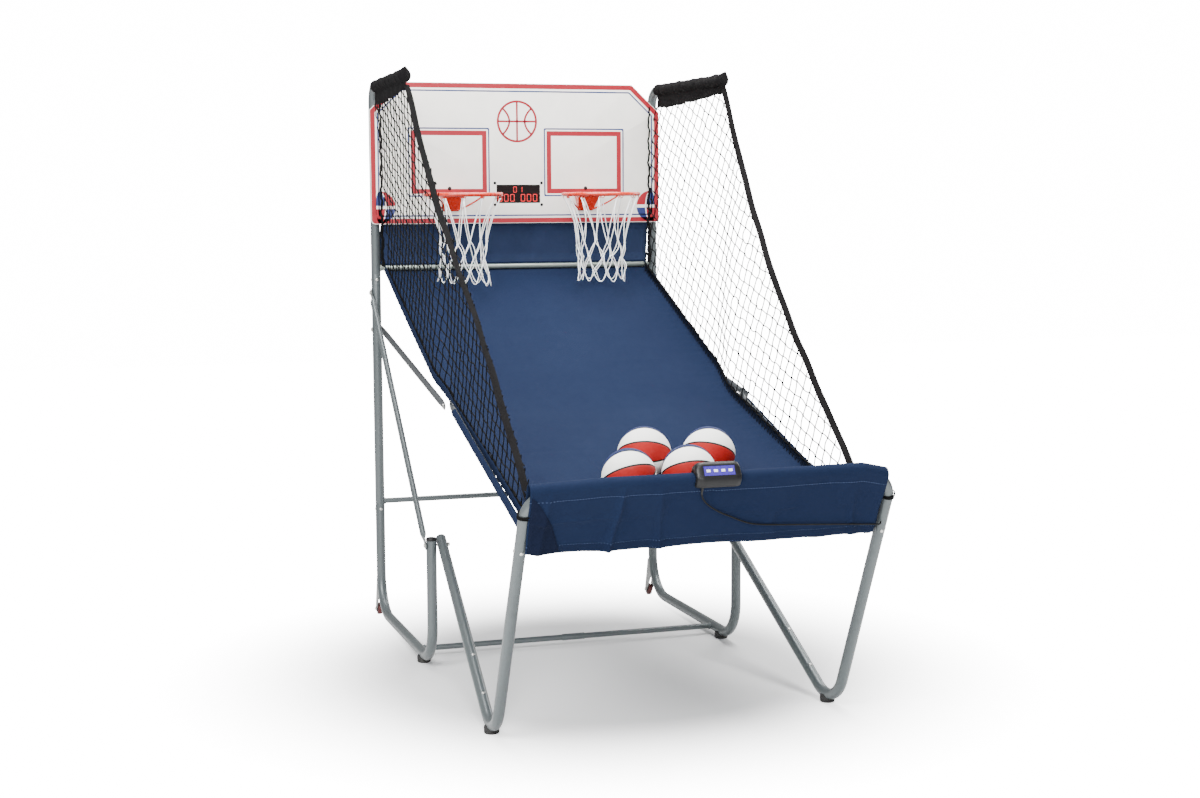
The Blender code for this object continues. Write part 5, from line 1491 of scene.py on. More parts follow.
def ramp_point(u, v):
    """u is -1 to 1 across, v is the distance down the slope in metres: a straight line each side of the
    kink, with its corner rounded over 12 cm."""
    marks = walked_along(RAMP_LINE)
    soft = np.linspace(-0.06, 0.06, 7)
    reach = sum(np.interp(v + s, marks, RAMP_LINE[:, 0]) for s in soft) / len(soft)
    height = sum(np.interp(v + s, marks, RAMP_LINE[:, 1]) for s in soft) / len(soft)
    end = np.minimum(v, marks[-1] - v) < 0.06
    reach = np.where(end, np.interp(v, marks, RAMP_LINE[:, 0]), reach)
    height = np.where(end, np.interp(v, marks, RAMP_LINE[:, 1]), height)
    return reach, height, marks[-1]


UPSTAND_STEPS, UPSTAND_STEP, UPSTAND_LEAN = 3, 0.010, -0.0005    # how the ramp's edges turn up


def widened(values, step):
    """One more column at each side, the step away from the last: outwards where the values run across
    from less to more, and up where they don't."""
    low, high = values[:, :1], values[:, -1:]
    mirrored = low[0, 0] < 0 < high[0, 0]
    return np.hstack([low - step if mirrored else low + step, values, high + step])


def make_ramp():
    """The sheet dips where it has no bar under it, waves across, and keeps the box's fold lines."""
    rows, columns = 220, 130
    length = ramp_point(0, np.zeros(1))[2]
    u, v = np.meshgrid(np.linspace(-1, 1, columns), np.linspace(0, 1, rows))
    reach, height, _ = ramp_point(u, v * length)
    hold = edge_hold(v, 3)
    # the marks of folding: three lines down the slope and two across, each about a millimetre high
    folds = 0.0011 * (pinch(u, -0.34, 0.016) - pinch(u, 0.31, 0.018) + 0.7 * pinch(u, 0.68, 0.016))
    folds += 0.0011 * (pinch(v, 0.36, 0.006) - pinch(v, 0.69, 0.007))
    slack = -0.012 * (1 - u ** 2) * np.sin(np.pi * v) ** 2
    drag = 0.0035 * np.sin(2 * np.pi * (1.4 * u + 1.1 * v)) * np.abs(u) ** 1.5
    wave = ripple(u, v, ((0.5, 0.7, 0.0028), (1.1, -0.8, 0.0016), (0.3, 2.3, 0.0012),
                         (2.4, 1.7, 0.0007)), 3)
    lift = (slack + drag + wave + folds) * hold
    # the nets pull the edges up into short scallops
    lift += 0.0035 * np.abs(u) ** 14 * (0.5 - 0.5 * np.cos(2 * np.pi * v * length / 0.05)) * hold
    half = ramp_edge(reach)
    x, height, flat_x = u * half, height + lift, u * half
    for _ in range(UPSTAND_STEPS):
        x, height = widened(x, UPSTAND_LEAN), widened(height, UPSTAND_STEP)
        flat_x = widened(flat_x, UPSTAND_STEP)
        reach = np.pad(reach, ((0, 0), (1, 1)), "edge")
    grid = place(x, reach, height)
    flat = np.stack([flat_x, np.repeat(v[:, :1] * length, x.shape[1], 1)], -1)
    ramp = cloth("ramp_sheet", grid, flat, NAVY, None, "ramp_cloth")
    follow_both(ramp, *RAMP_LINE[0])


make_ramp()


# %% Rail wraps
def make_rail_wraps():
    """The ramp's edge carried on over each rail and under it.  At t along the rail and angle a round it:
    out = (r + 0.6 mm) cos a, up = (r + 1.6 mm + waves) sin a, for a from 95 to -115 degrees."""
    for name, side in SIDES:
        hub, joint = place(side * RAIL_X, *LOW_BAR), place(side * RAIL_X, *HINGE)
        along, length = unit(joint - hub), float(np.linalg.norm(joint - hub))
        up = np.cross(along, (1.0, 0, 0))
        up = up * np.sign(up[2])
        a, t = np.meshgrid(np.radians(np.linspace(95, -115, 26)), np.linspace(0.040, length - 0.068, 150))
        wave = 0.0008 * (1 + np.sin(61 * t + 1.2 * side)) + 0.0007 * (1 + np.sin(143 * t + a))
        grid = hub + t[..., None] * along
        grid = grid + (side * (BRACE_R + 0.0006) * np.cos(a))[..., None] * np.array([1.0, 0, 0])
        grid = grid + ((BRACE_R + 0.0016 + wave) * np.sin(a))[..., None] * up
        around = a[:, :1] - a
        flat = np.stack([(BRACE_R + 0.002) * around + 0.62, t], -1)
        wrap = cloth("ramp_rail_wrap_" + name, grid, flat, NAVY, "side_rails", thick=0.0006)


make_rail_wraps()
print("rail wraps done")


# %% Rear cloth
def make_rear_cloth():
    """From below the upper crossbar, up behind it, to the back of the board; it sags in between."""
    rows, columns = 70, 130
    half = POST_X - TUBE_R - 0.0012
    u, v = np.meshgrid(np.linspace(-1, 1, columns), np.linspace(0, 1, rows))
    low, high = 1.4455, BOARD_LOW + 0.046
    height = low + (high - low) * v
    behind = np.interp(height, (low, CROSSBAR_Z + 0.012, BOARD_LOW - 0.01, BOARD_LOW + 0.01, high),
                       (-0.0128, -0.0128, 0.012, 0.0186, 0.0186))
    free = np.interp(height, (CROSSBAR_Z, CROSSBAR_Z + 0.05, BOARD_LOW - 0.03, BOARD_LOW), (0, 1, 1, 0))
    wave = ripple(u, v, ((0.8, 0.2, 0.0045), (2.1, 0.4, 0.0025), (4.6, -0.5, 0.0012)), 11)
    creases = 0.004 * (pinch(u, -0.42, 0.02) - pinch(u, 0.12, 0.02) + pinch(u, 0.63, 0.015))
    grid = place(u * half, behind + (wave + creases - 0.010) * free, height)
    flat = np.stack([u * half, height], -1)
    # the rear cloth wears the lighter navy copy, which is painted light
    rear = cloth("rear_sheet", grid, flat, LIT_REAR_NAVY, "root", "rear_cloth")
    make_hem("rear_hem", grid, flat, (0, -1, 0), "root")
    print("rear cloth: %.3f m wide" % (2 * half))


def make_hem(name, grid, flat, way, body):
    """A second layer over the first nine rows of a sheet, lifted off it."""
    lifted = grid[:9] + np.asarray(way, float) * 0.0011
    cloth(name, lifted, flat[:9] + (0.31, 0.17), HEM_NAVY, body, thick=0.0008)


make_rear_cloth()

# %% [markdown]
# ## The ball tray's wall
#
# The wall is a double layer of the same cloth. It is sewn into a sleeve round the top bar, hangs down the
# front and is hemmed just below the low bar. Its creases are the strongest on the machine: three run from
# top to bottom, one fold line runs across the middle, and the hem dips between the places where it is
# pulled. At each end a gusset folds back towards the ramp.


# %% Tray wall
WALL_HALF = 0.576
TOP_ROW = np.array([(-1.0, 0.8735), (-0.65, 0.8835), (-0.09, 0.8845), (0.49, 0.8865), (0.85, 0.8890),
                    (1.0, 0.8700)])     # across, height of the sleeve's top
CREASES = ((-0.935, 0.03, 0.020, 0.0110), (-0.545, 0.05, 0.020, 0.0150), (-0.30, -0.04, 0.034, 0.0100),
           (-0.06, 0.06, 0.022, -0.0110), (0.33, -0.05, 0.024, 0.0150), (0.60, 0.07, 0.030, -0.0090),
           (0.82, -0.10, 0.022, 0.0110))     # place across, slope, width, depth


def wall_front(u, v):
    """Out of the wall's plane and up it, for u across and v from the hem (0) to the top (1)."""
    low = -0.2155 + 0.0010 * np.sin(2 * np.pi * (1.15 * u + 0.14)) + 0.0008 * np.cos(2 * np.pi * 2.3 * u)
    low = low + 0.004 * np.clip((np.abs(u) - 0.93) / 0.07, 0, 1) ** 2
    top = (np.interp(u, TOP_ROW[:, 0], TOP_ROW[:, 1]) - TOP_BAR[1] - CLOTH_FRONT * -math.sin(WALL_LEAN))
    top = top / math.cos(WALL_LEAN) - 0.0215
    up = low + (top - low) * v
    free = np.clip((1 - v) / 0.30, 0, 1) ** 0.8
    out = 0.0215 + ripple(u, v, ((1.1, 0.3, 0.0022), (2.6, -0.4, 0.0016), (5.3, 0.6, 0.0007)), 21) * free
    for at, slope, width, depth in CREASES:
        out = out + depth * pinch(u, at + slope * (v - 0.5), width) * free
    out = out + 0.0065 * pinch(v, 0.52, 0.030) * (0.6 + 0.4 * np.sin(5 * u))
    end = np.clip((np.abs(u) - 0.86) / 0.14, 0, 1)
    out = out + 0.0035 * end * np.sin(2 * np.pi * (1.6 * v + 2 * u)) * free
    out = out - 0.0070 * ridge(v, 0.34, 0.26) * (1 - np.abs(u) ** 6)
    # right of the controller the cloth stays behind the cord, and at the left end it stays before the leg
    out = np.where(u > -0.14, np.minimum(out, 0.0232), out)
    return np.maximum(out, np.where(u < -0.94, 0.0200, 0.0186)), up


def make_tray_wall():
    """The front runs up to the bar, then the cloth goes round the bar by half a turn and down inside."""
    columns, rows = 260, 64
    u, v = np.meshgrid(np.linspace(-1, 1, columns), np.linspace(0, 1, rows))
    out, up = wall_front(u, v)
    turn = np.linspace(0, np.pi, 15)[1:, None]
    top_out, top_up = out[-1], up[-1]
    over_out = top_out * np.cos(turn) - 0.0006 * np.sin(turn)
    over_up = top_up + 0.0213 * np.sin(turn)
    inside = np.linspace(0, 1, 18)[1:, None]
    in_out = -top_out + 0.0012 * np.sin(17 * u[:17]) * inside
    in_up = top_up - 0.062 * inside + 0.0015 * np.sin(11 * u[:17]) * inside
    out, up = np.vstack([out, over_out, in_out]), np.vstack([up, over_up, in_up])
    u = np.repeat(u[:1], len(out), 0)
    ends = 1 - 0.020 * np.clip((0.0 - up) / 0.20, 0, 1) * np.clip(u, 0, 1) - 0.004 * np.clip(-u, 0, 1)
    left = 1 + 0.040 * np.clip((-u - 0.90) / 0.10, 0, 1) * np.clip(1 + up / 0.20 * 0.25, 0.7, 1)
    grid = place(u * WALL_HALF * ends * left, *on_wall(out, up))
    walked = walked_along(grid[:, columns // 2])
    flat = np.stack([u * WALL_HALF, np.repeat(walked[:, None], columns, 1)], -1)
    wall = cloth("tray_wall_sheet", grid, flat, NAVY, "front_frame", "tray_wall")
    way = place(0, *on_wall(1, 0)) - place(0, *on_wall(0, 0))
    make_hem("tray_hem", grid, flat, way, "front_frame")
    stitch_rows(grid, (1, 8, 55), way, "tray_stitches")
    make_corner_fold(grid, flat, way)


def make_corner_fold(grid, flat, way):
    """The spare cloth at the left end, tucked over the wall: a wedge that widens downward and stands out."""
    s, t = np.meshgrid(np.linspace(0, 1, 24), np.linspace(0, 1, 40))
    rows = np.interp(t, (0, 1), (60, 2))
    columns = 1 + s * 19 * t ** 0.75
    row, column = rows.astype(int), columns.astype(int)
    down, across = (rows - row)[..., None], (columns - column)[..., None]
    near = grid[row, column] * (1 - across) + grid[row, column + 1] * across
    far = grid[row + 1, column] * (1 - across) + grid[row + 1, column + 1] * across
    lift = 0.0022 + 0.0075 * np.sin(np.pi * s) ** 0.7 * t + 0.004 * s * t
    spots = near * (1 - down) + far * down + np.asarray(way, float) * lift[..., None]
    # the fold wears the darker navy copy, painted shade for the turned gusset that lies in shade
    fold = cloth("tray_corner_fold", spots, flat[row, column] + (0.0, 0.7), SHADED_FOLD_NAVY, "front_frame",
                 thick=0.0010)


def stitch_rows(grid, rows, way, name):
    """Short threads laid along some rows of a sheet: each is a low bridge from one grid point towards the
    next, so the row keeps to the folds."""
    top = np.array([(0, 1, 3, 2), (2, 3, 5, 4)])
    flanks = np.array([(0, 2, 6), (2, 7, 6), (2, 4, 7), (3, 1, 6), (7, 3, 6), (5, 3, 7), (1, 0, 6),
                       (4, 5, 7)])
    parts = []
    lift = np.asarray(way, float) * 0.0018
    for row in rows:
        end = grid[row][1::2]
        start = grid[row][:-1:2][:len(end)]
        half_way = (start + end) / 2
        side = unit(np.cross(end - start, way)) * 0.0006
        points = np.stack([start + side + lift * 0.6, start - side + lift * 0.6, half_way + side + lift,
                           half_way - side + lift, end + side + lift * 0.6, end - side + lift * 0.6,
                           start + lift * 0.2, end + lift * 0.2], 1)
        first = (np.arange(len(start)) * 8)[:, None, None]
        faces = [(top + first).reshape(-1, 4), (flanks + first).reshape(-1, 3)]
        parts.append((points.reshape(-1, 3), faces))
    piece(name, gather(parts), STITCH, "front_frame")


make_tray_wall()


# %% Tray gussets
def make_gussets():
    """A triangle of cloth at each end, from the wall's edge back to the ramp's, with two soft pleats."""
    rows, columns = 36, 40
    for name, side in SIDES:
        s, t = np.meshgrid(np.linspace(0, 1, columns), np.linspace(0, 1, rows))
        front_out, front_up = 0.0188 + 0 * t, -0.192 + (-0.030 + 0.192) * t
        back_reach = LOW_BAR[0] - 0.038 - 0.115 * t
        back_z = ramp_height(back_reach) + 0.006 + 0.112 * t
        reach, z = on_wall(front_out, front_up)
        reach, z = reach + (back_reach - reach) * s, z + (back_z - z) * s
        sink = 0.010 * np.sin(np.pi * s) * np.sin(np.pi * np.clip(t, 0, 1)) + 0.003 * np.sin(7 * s + 4 * t)
        x = 0.5725 - sink - 0.026 * s * (1 - 0.4 * t)
        grid = place(side * x, reach, z)
        flat = np.stack([s * 0.15, t * 0.18], -1)
        gusset = cloth("tray_gusset_" + name, grid, flat, NAVY, "front_frame")


make_gussets()
print("gussets done")

# %% [markdown]
# ## Sleeves over the arms
#
# Each net hangs from a black sleeve pulled over the arm. It fits the tube loosely on top and ends in a
# doubled flap below, to which the net is sewn. The sleeve is one closed skin: its section walks round the
# tube and down both faces of the flap, and slack wrinkles run round it, deepest at its front end.


# %% Sleeves
def arm_line(side, s):
    """Points along an arm, s in metres from its post's axis."""
    length = math.hypot(ARM_REACH, ARM_SPLAY)
    return place(side * (POST_X + ARM_SPLAY * s / length), ARM_REACH * s / length, ARM_Z)


def make_sleeves():
    """A closed skin: centre + across * (section x + slack) + up * (section z + slack + hem + peak), where
    the slack is ripples and two gathers, the hem rises and waves, and the last 3 cm draw in."""
    for name, side in SIDES:
        rows, drop = 150, 0.073
        start, end = 0.074, math.hypot(ARM_REACH, ARM_SPLAY) + 0.006
        s = np.linspace(start, end, rows)[:, None]
        across = np.array([math.cos(ARM_SPLAY / ARM_REACH), side * math.sin(ARM_SPLAY / ARM_REACH), 0.0])
        turn = np.linspace(-math.pi / 2 + 0.16, 1.5 * math.pi - 0.16, 34)
        down = np.linspace(0, 1, 10)[1:]
        right = np.stack([0.0021 + 0 * down, -0.0212 - (drop - 0.0212) * down], -1)
        section = np.vstack([np.stack([0.0218 * np.cos(turn), 0.0218 * np.sin(turn)], -1),
                             np.stack([-right[:, 0], right[:, 1]], -1), right[::-1]])
        way = unit(section + (0, 0.012))
        w = np.arange(len(section)) / len(section)
        slack = np.abs(ripple(s, w, ((9.0, 1.0, 0.0013), (17.0, -2.0, 0.0011), (4.0, 2.0, 0.0014)),
                              31 + side))
        slack = slack + 0.0035 * ridge(s, end - 0.018, 0.020) + 0.0018 * ridge(s, end - 0.10, 0.03)
        slack = slack * np.clip((section[:, 1] + drop + 0.012) / 0.05, 0.25, 1)
        sway = 0.0030 * np.sin(2 * np.pi * 4.1 * s + 1.0) + 0.0020 * np.sin(2 * np.pi * 9.7 * s)
        sway = sway * np.clip((-0.018 - section[:, 1]) / (drop - 0.018), 0, 1) ** 1.3
        rise = 0.026 * np.clip((s - start - 0.15) / (end - start - 0.15), 0, 1) ** 1.2
        rise = rise * np.clip((-0.0225 - section[:, 1]) / (drop - 0.0225), 0, 1)
        edge = np.clip((-0.05 - section[:, 1]) / 0.02, 0, 1)
        hem = rise - 0.004 * edge * (0.5 + 0.5 * np.sin(2 * np.pi * 7 * s))
        spot = arm_line(side, s)
        closing = np.clip((s - end + 0.030) / 0.030, 0, 1) ** 1.5
        narrow = 1 - 0.72 * closing
        peak = 0.006 * closing * np.clip(section[:, 1] / 0.02, 0, 1) ** 3
        points = (spot + across * ((section[:, :1].T + way[:, 0] * slack) * narrow + sway)[..., None]
                  + np.array([0, 0, 1.0]) * (section[:, 1] + way[:, 1] * slack + hem + peak)[..., None])
        tip = points[-1] * 0.8 + points[-1].mean(0) * 0.2 + (0, -0.003, 0)
        points = np.concatenate([points, tip[None]])
        faces = [grid_cells(rows + 1, len(section), around=True), end_caps(rows + 1, len(section))]
        flat = np.stack(np.broadcast_arrays(walked_along(section), np.vstack([s, s[-1:] + 0.01])), -1)
        sleeve = piece("arm_sleeve_" + name, (points.reshape(-1, 3), faces), SLEEVE_BLACK, "root",
                       "net_sleeve_" + name, flat=flat.reshape(-1, 2), sharp=60)
        face_out(sleeve.data)


make_sleeves()
print("sleeves done")

# %% [markdown]
# ## Side nets and their straps
#
# The side nets are knotted from thin black twine in diamonds about 5 cm wide. All the knots are one lattice
# told in reach and height, laid so that its rows run along the ramp. The threads between knots are cut
# where they meet the edge of the panel: the arm above, the post behind, the rope along the ramp below and
# the webbing strap in front. Then one smooth surface gives every point its place across.


# %% Net region
STRAP = np.array([(0.622, 0.775, 2.150), (0.601, 1.048, 1.80), (0.575, 1.339, 1.50), (0.558, 1.570, 1.30),
                  (0.5545, 1.800, 1.10), (0.552, 2.040, 0.90), (0.552, 2.170, 0.792)])
NET_TOP = 2.1165
NET_BACK = 0.036
EDGE_RISE = 0.030              # how far the nets' lower edge stands over the ramp's cloth
TWINE_R = 0.0021


def strap_reach(z):
    """Where the front strap is at a height."""
    return np.interp(z, STRAP[::-1, 2], STRAP[::-1, 1])


def net_top(reach):
    """The net's top: it rises towards the front, where the sleeve is drawn up."""
    return NET_TOP + 0.026 * np.clip((np.asarray(reach, float) - 0.22) / 0.555, 0, 1) ** 1.2


def net_bottom(reach):
    """The net's lower edge, just over the ramp's cloth."""
    return ramp_height(reach) + EDGE_RISE


def net_across(reach, z):
    """How far out the net is: in at the ramp's edge, out at the arm, with an even bow between them."""
    share = np.clip((z - net_bottom(reach)) / (net_top(reach) - net_bottom(reach)), 0, 1)
    top = POST_X + ARM_SPLAY * np.clip(reach / ARM_REACH, 0, 1)
    low = ramp_edge(reach) - 0.0075
    return low + (top - low) * share ** 1.7


def inside_net(reach, z):
    """The least of the distances to the four edges: positive inside the panel."""
    return np.minimum.reduce([strap_reach(z) - reach, net_top(reach) - z, reach - NET_BACK,
                              z - net_bottom(reach)])


def clipped(start, end):
    """Moves the outer end of each thread that crosses an edge onto the edge, by halving."""
    in_start, in_end = inside_net(*start.T) > 0, inside_net(*end.T) > 0
    keep = in_start | in_end
    start, end, in_start, in_end = start[keep], end[keep], in_start[keep], in_end[keep]
    anchor = np.where(in_start[:, None], start, end)
    other = np.where(in_start[:, None], end, start)
    both = (in_start & in_end)[:, None]
    low, high = np.zeros(len(anchor)), np.ones(len(anchor))
    for _ in range(18):
        half = (low + high) / 2
        spot = anchor + (other - anchor) * half[:, None]
        good = inside_net(*spot.T) > 0
        low, high = np.where(good, half, low), np.where(good, high, half)
    cut = anchor + (other - anchor) * low[:, None]
    return anchor, np.where(both, other, cut)


def net_surface(side, spots):
    """Points told in reach and height, put on the net's surface."""
    return place(side * net_across(spots[..., 0], spots[..., 1]), spots[..., 0], spots[..., 1])


# %% Net lattice
def make_side_nets():
    """Knots at a*i + b*j, where a runs down the ramp and b stands across it; threads run along both.
    Every thread bows a little, by an amount of its own."""
    for name, side in SIDES:
        source = np.random.default_rng(41 + side)
        i, j = np.meshgrid(np.arange(-14, 64), np.arange(-2, 32), indexing="ij")
        reach = 0.030 + 0.050 * i + 0.020 * j
        z = net_bottom(np.clip(reach, -0.3, 2.3)) + 0.004 + 0.0470 * j
        jitter = source.normal(0, 0.0022, (2,) + i.shape)
        knots = np.stack([reach + jitter[0], z + jitter[1]], -1)
        threads = [(knots[:, :-1], knots[:, 1:]), (knots[:-1], knots[1:])]
        start = np.concatenate([a.reshape(-1, 2) for a, _ in threads])
        end = np.concatenate([b.reshape(-1, 2) for _, b in threads])
        start, end = clipped(start, end)
        long_enough = np.linalg.norm(end - start, axis=1) > 0.004
        start, end = start[long_enough], end[long_enough]
        steps, sides = 5, 5
        s = np.linspace(0, 1, steps)[None, :, None]
        flat_way = end - start
        normal = np.stack([-flat_way[:, 1], flat_way[:, 0]], -1)[:, None]
        bow = source.normal(0, 0.055, (len(start), 1, 1))
        spots = start[:, None] + flat_way[:, None] * s + normal * bow * 4 * s * (1 - s)
        line = net_surface(side, spots)
        line[..., 0] += side * source.normal(0, 0.0012, (len(start), 1)) * (4 * s * (1 - s))[..., 0]
        ahead = unit(np.gradient(line, axis=1))
        first = unit(np.cross(ahead, np.array([1.0, 0.05, 0.02])))
        second = np.cross(ahead, first)
        turn = np.linspace(0, 2 * np.pi, sides, endpoint=False)[None, None, :, None]
        rings = first[:, :, None] * np.cos(turn) + second[:, :, None] * np.sin(turn)
        rings = line[:, :, None] + TWINE_R * rings
        strands = (rings.reshape(-1, 3), many_tubes(len(start), steps, sides))
        inner = knots.reshape(-1, 2)
        inner = inner[inside_net(*inner.T) > 0.002]
        net = piece("side_netting_" + name, gather([strands, small_knots(net_surface(side, inner))]),
                    TWINE_BLACK, None, "side_net_" + name, sharp=80)
        follow_both(net)
        print("side net", name, len(start), "threads,", len(inner), "knots")


def many_tubes(count, rows, columns):
    """The faces of many small closed tubes whose points follow one another."""
    base = (np.arange(count) * rows * columns)[:, None, None]
    cells, caps = grid_cells(rows, columns, around=True), end_caps(rows, columns)
    return [(cells + base).reshape(-1, 4), (caps + base).reshape(-1, columns)]


def small_knots(centres, radius=0.0042):
    """An octahedron with its sides swelled into a second ring of points: 18 points at each knot."""
    turn = np.linspace(0, 2 * np.pi, 6, endpoint=False)
    ring = np.stack([np.cos(turn), np.sin(turn), 0 * turn], -1)
    low, high = ring * 0.75 + (0, 0, -0.62), ring * 0.75 + (0, 0, 0.62)
    shape = np.vstack([low, ring, high]) * radius
    return (centres[:, None] + shape).reshape(-1, 3), many_tubes(len(centres), 3, 6)


make_side_nets()


# %% Straps and edge ropes
def ribbon(path, half_wide, half_thick, reference, twist=0.0):
    """Webbing: an oval so flat that it reads as a band, with its map along and across."""
    sides = 14
    points, faces = swept(path, half_wide, half_thick, reference, sides, twist)
    turn = np.linspace(0, 2 * np.pi, sides, endpoint=False)
    flat = np.stack(np.broadcast_arrays(half_wide * np.cos(turn), walked_along(path)[:, None]), -1)
    return (points, faces), flat.reshape(-1, 2)


def make_straps():
    """Down each net's front a strap that twists and wavers by a few sines, and down its back a flat rope."""
    for name, side in SIDES:
        corners = place(side * (STRAP[:, 0] + 0.001), STRAP[:, 1], STRAP[:, 2])
        path = smooth_line(corners, 160)
        s = np.linspace(0, 1, 160)
        twist = 0.25 + 0.25 * np.sin(2 * np.pi * 1.7 * s + side) + 0.12 * np.sin(2 * np.pi * 4.3 * s)
        path[:, 0] += 0.0014 * np.sin(2 * np.pi * 6 * s)
        path[:, 2] += 0.0016 * np.sin(2 * np.pi * 9 * s)
        shape, flat = ribbon(path, 0.0118, 0.0020, (0.9 * side, -0.35, 0.1), twist)
        strap = piece("front_strap_" + name, shape, WEBBING, None, flat=flat, sharp=70)
        face_out(strap.data)
        follow_both(strap)
        z = np.linspace(1.462, 2.118, 80)
        waver = 0.0025 * np.sin(2 * np.pi * z / 0.083) + 0.0015 * np.sin(2 * np.pi * z / 0.031)
        rear = place(side * (0.5765 + waver), 0.031 + 0.0012 * np.sin(2 * np.pi * z / 0.05), z)
        piece("rear_rope_" + name, swept(rear, 0.0080, 0.0032, (1, 0.5, 0), 14), TWINE_BLACK, "root")
        make_edge_rope(name, side)


def make_edge_rope(name, side):
    """The rope that the net's lower edge is tied to, and the cord that laces it to the ramp's edge."""
    reach = np.linspace(0.036, 2.165, 240)
    low = net_bottom(reach)
    wobble = 0.0016 * np.sin(2 * np.pi * reach / 0.05)
    rope = place(side * (net_across(reach, low) + wobble * 0.4), reach, low + wobble)
    parts = [swept(rope, 0.0034, 0.0030, sides=10, reference=(1, 0, 0.1))]
    t = np.linspace(0, 1, 9)
    dip = 0.5 - 0.5 * np.cos(2 * np.pi * t)
    ties = 0.036 + (2.150 - 0.036) * np.linspace(0, 1, 86)
    for start, end in zip(ties, ties[1:]):
        run = start + (end - start) * t
        across = net_across(run, net_bottom(run)) - 0.0060 * dip
        loop = place(side * across, run, net_bottom(run) - (EDGE_RISE - 0.0045) * dip)
        parts.append(swept(loop, 0.0011, sides=6, reference=(1, 0.1, 0)))
    follow_both(piece("edge_rope_" + name, gather(parts), TWINE_BLACK, None, sharp=80))


make_straps()
print("straps and ropes done")


# %% Elastic at the tray's corners
def make_elastics():
    """Three turns of black elastic round each leg's top, where the strap is tied off."""
    along = place(0, *on_wall(0, 1)) - place(0, *on_wall(0, 0))
    t = np.linspace(0, 2 * np.pi, 40)[:, None]
    for name, side in SIDES:
        parts = []
        for k, up in enumerate((-0.092, -0.084, -0.077)):
            loop = place(side * POST_X, *on_wall(0.0, up))
            loop = loop + 0.0212 * (np.cos(t) * np.array([1.0, 0, 0]) + np.sin(t) * wall_out())
            loop = loop + 0.004 * np.sin(t + k) * along
            parts.append(swept(loop, 0.0021, sides=8, reference=tuple(along)))
        tail = np.stack([place(side * (POST_X - 0.020), *on_wall(0.006, -0.085)),
                         place(side * 0.566, *on_wall(-0.020, -0.060)), place(side * 0.556, 2.17, 0.800)])
        parts.append(swept(smooth_line(tail, 20), 0.0021, sides=8))
        piece("corner_elastic_" + name, gather(parts), TWINE_BLACK, "front_frame")


make_elastics()
print("elastics done")

# %% [markdown]
# ## Balls
#
# Four small rubber balls, each with eight lens shaped panels that meet at two poles: white, navy and red.
# The ball is one sphere with its poles closed by fans. Each point keeps its own direction from the
# centre, in the ball's own turned axes, as an attribute. Both the grooves in the mesh and the colours in
# the material are worked out from that direction, so they can't drift apart.


# %% Ball panels
BALL_R = 0.090
PANEL_TURN = math.pi / 4
BALL_TURNS = (      # tilt of the poles' axis in view, turn about that axis
    (math.radians(16), math.radians(27)), (math.radians(0), math.radians(33)),
    (math.radians(8), math.radians(30)), (math.radians(-11), math.radians(30)))


def make_ball_finish():
    """Panel = floor(angle / 45 degrees); a groove where the angle is near a whole panel."""
    material, tree, shader = start_finish("ball_rubber", Roughness=0.62, Specular_IOR_Level=0.22)
    way = tree.nodes.new("ShaderNodeAttribute")
    way.attribute_name = "ball_way"
    p, q, r = split_node(tree, way.outputs["Vector"])
    turns = math_node(tree, "DIVIDE", math_node(tree, "ARCTAN2", r, q), PANEL_TURN)
    share = math_node(tree, "FRACT", turns)
    number = math_node(tree, "FLOORED_MODULO", math_node(tree, "FLOOR", turns), 8.0)
    near = math_node(tree, "MINIMUM", share, math_node(tree, "SUBTRACT", 1.0, share))
    wide = math_node(tree, "SQRT", math_node(tree, "SUBTRACT", 1.0, math_node(tree, "MULTIPLY", p, p)))
    gap = math_node(tree, "MULTIPLY", math_node(tree, "MULTIPLY", near, wide), PANEL_TURN * BALL_R)
    ramp = tree.nodes.new("ShaderNodeValToRGB")
    ramp.color_ramp.interpolation = "CONSTANT"
    white, navy, red = (0.94, 0.935, 0.90, 1), (0.010, 0.018, 0.070, 1), (0.30, 0.0035, 0.0025, 1)
    stops = ramp.color_ramp.elements
    stops[0].color = white
    stops[1].position, stops[1].color = 1 / 8, navy
    for k, colour in enumerate((white, red, white, navy, white, red), 2):
        stops.new(k / 8).color = colour
    tree.links.new(math_node(tree, "DIVIDE", math_node(tree, "ADD", number, 0.5), 8.0), ramp.inputs[0])
    worn = use_group(tree, SOILING, Vector=coordinates(tree), Scale=14.0, Threshold=0.58)
    dust = math_node(tree, "MULTIPLY", worn["Mask"], 0.10)
    dusty = mix_node(tree, dust, ramp.outputs["Color"], (0.35, 0.30, 0.26))
    groove = range_node(tree, gap, 0.0026, 0.0032)
    feed(tree, shader.inputs["Base Color"], mix_node(tree, groove, (0.004, 0.004, 0.004), dusty))
    cells = tree.nodes.new("ShaderNodeTexVoronoi")
    feed(tree, cells.inputs["Vector"], way.outputs["Vector"])
    cells.inputs["Scale"].default_value = 62.0
    bead = range_node(tree, cells.outputs["Distance"], 0.0, 0.6, 1.0, 0.0)
    add_bump(tree, shader, math_node(tree, "MULTIPLY", bead, groove), 0.0006)
    return material


BALL_RUBBER = make_ball_finish()


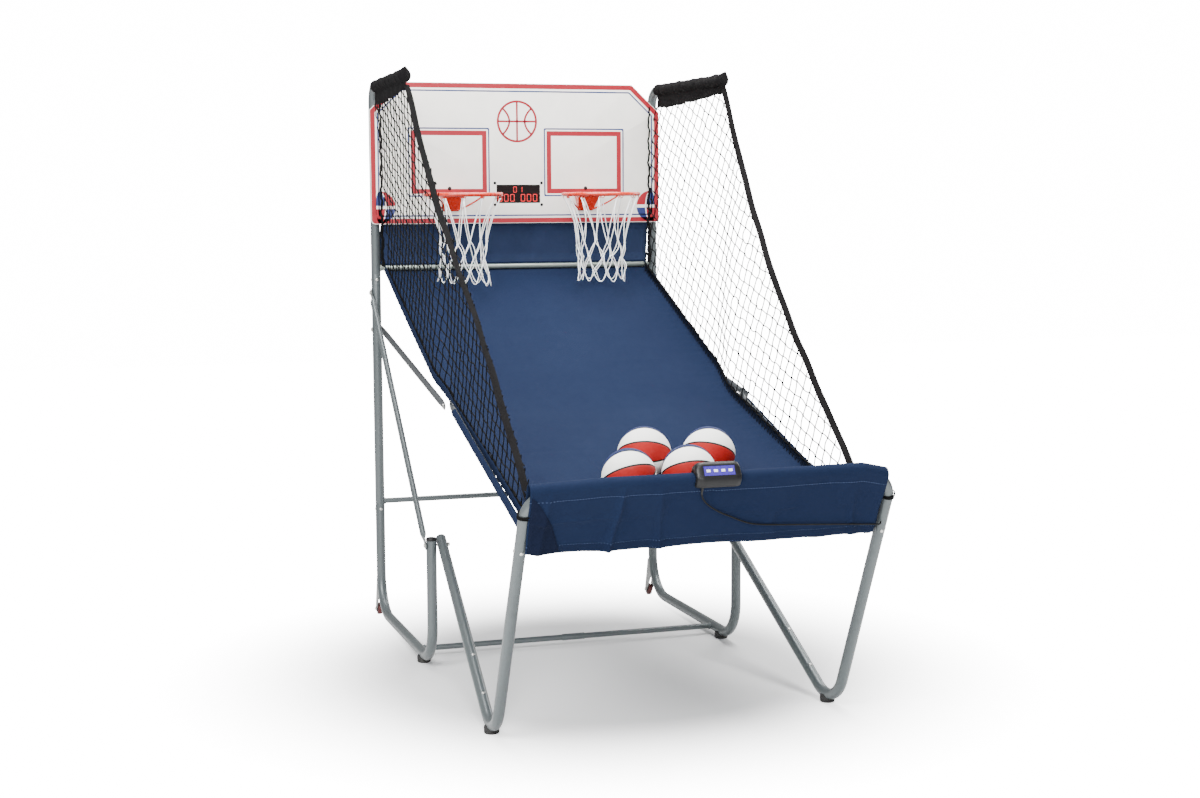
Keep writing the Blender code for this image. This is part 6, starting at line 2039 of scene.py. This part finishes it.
def make_ball(index, centre, tilt, turn):
    """Rings between two poles; radius = R less a rounded groove 1.3 mm deep along each panel's edge."""
    rows, columns = 150, 240
    polar = np.linspace(0, np.pi, rows + 2)[1:-1, None]
    around = np.linspace(0, 2 * np.pi, columns, endpoint=False)
    own = np.stack(np.broadcast_arrays(np.cos(polar), np.sin(polar) * np.cos(around),
                                       np.sin(polar) * np.sin(around)), -1).reshape(-1, 3)
    own = np.vstack([own, [(1, 0, 0), (-1, 0, 0)]])
    share = np.mod(np.arctan2(own[:, 2], own[:, 1]) / PANEL_TURN, 1)
    gap = np.minimum(share, 1 - share) * PANEL_TURN * BALL_R * np.sqrt(1 - own[:, 0] ** 2)
    gap[-2:] = 0
    radius = BALL_R - 0.0002 - 0.0012 * np.exp(-(gap / 0.0027) ** 4)
    right = np.array([math.cos(CAMERA_YAW), -math.sin(CAMERA_YAW), 0])
    toward = np.array([-math.sin(CAMERA_YAW), -math.cos(CAMERA_YAW), 0])
    up = np.array([0, 0, 1.0])
    axis = right * math.cos(tilt) + up * math.sin(tilt)
    lifted = up * math.cos(tilt) - right * math.sin(tilt)
    front = toward * math.cos(turn) + lifted * math.sin(turn)
    crown = lifted * math.cos(turn) - toward * math.sin(turn)
    points = centre + (own * radius[:, None]) @ np.stack([axis, front, crown])
    cells = grid_cells(rows, columns, around=True)
    ring = np.arange(columns)
    after = np.roll(ring, -1)
    last = (rows - 1) * columns
    fans = [np.stack([ring, after, np.full(columns, rows * columns)], -1),
            np.stack([last + after, last + ring, np.full(columns, rows * columns + 1)], -1)]
    node = "ball_%d" % index
    ball = piece("play_" + node, (points, [cells, *fans]), BALL_RUBBER, node, node, sharp=80)
    ball.data.attributes.new("ball_way", "FLOAT_VECTOR", "POINT").data.foreach_set(
        "vector", own.astype(np.float32).ravel())


for index, (tilt, turn) in enumerate(BALL_TURNS, 1):
    make_ball(index, middle("ball_%d" % index), tilt, turn)
print("balls done")

# %% [markdown]
# ## Nodes that stay as they are
#
# A few pieces of the frame model already have the right shape. They only need their finish.

# %% Finish the kept nodes and close
KEPT = {"castor_fork": CASTOR_ZINC, "hoop_sensor": BLACK_PLASTIC, "score_case": BLACK_PLASTIC,
        "score_circuit": CIRCUIT, "control_face": VIOLET, "control_circuit": CIRCUIT,
        "control_button": KEY_WHITE}
dressed = 0
for obj in bpy.context.scene.objects:
    if obj.type == "MESH" and "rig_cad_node" in obj and not obj.hide_render:
        for start, finish in KEPT.items():
            if obj.name.startswith(start):
                for slot in obj.material_slots:
                    slot.material = finish
                dressed += 1
print("kept nodes dressed:", dressed)
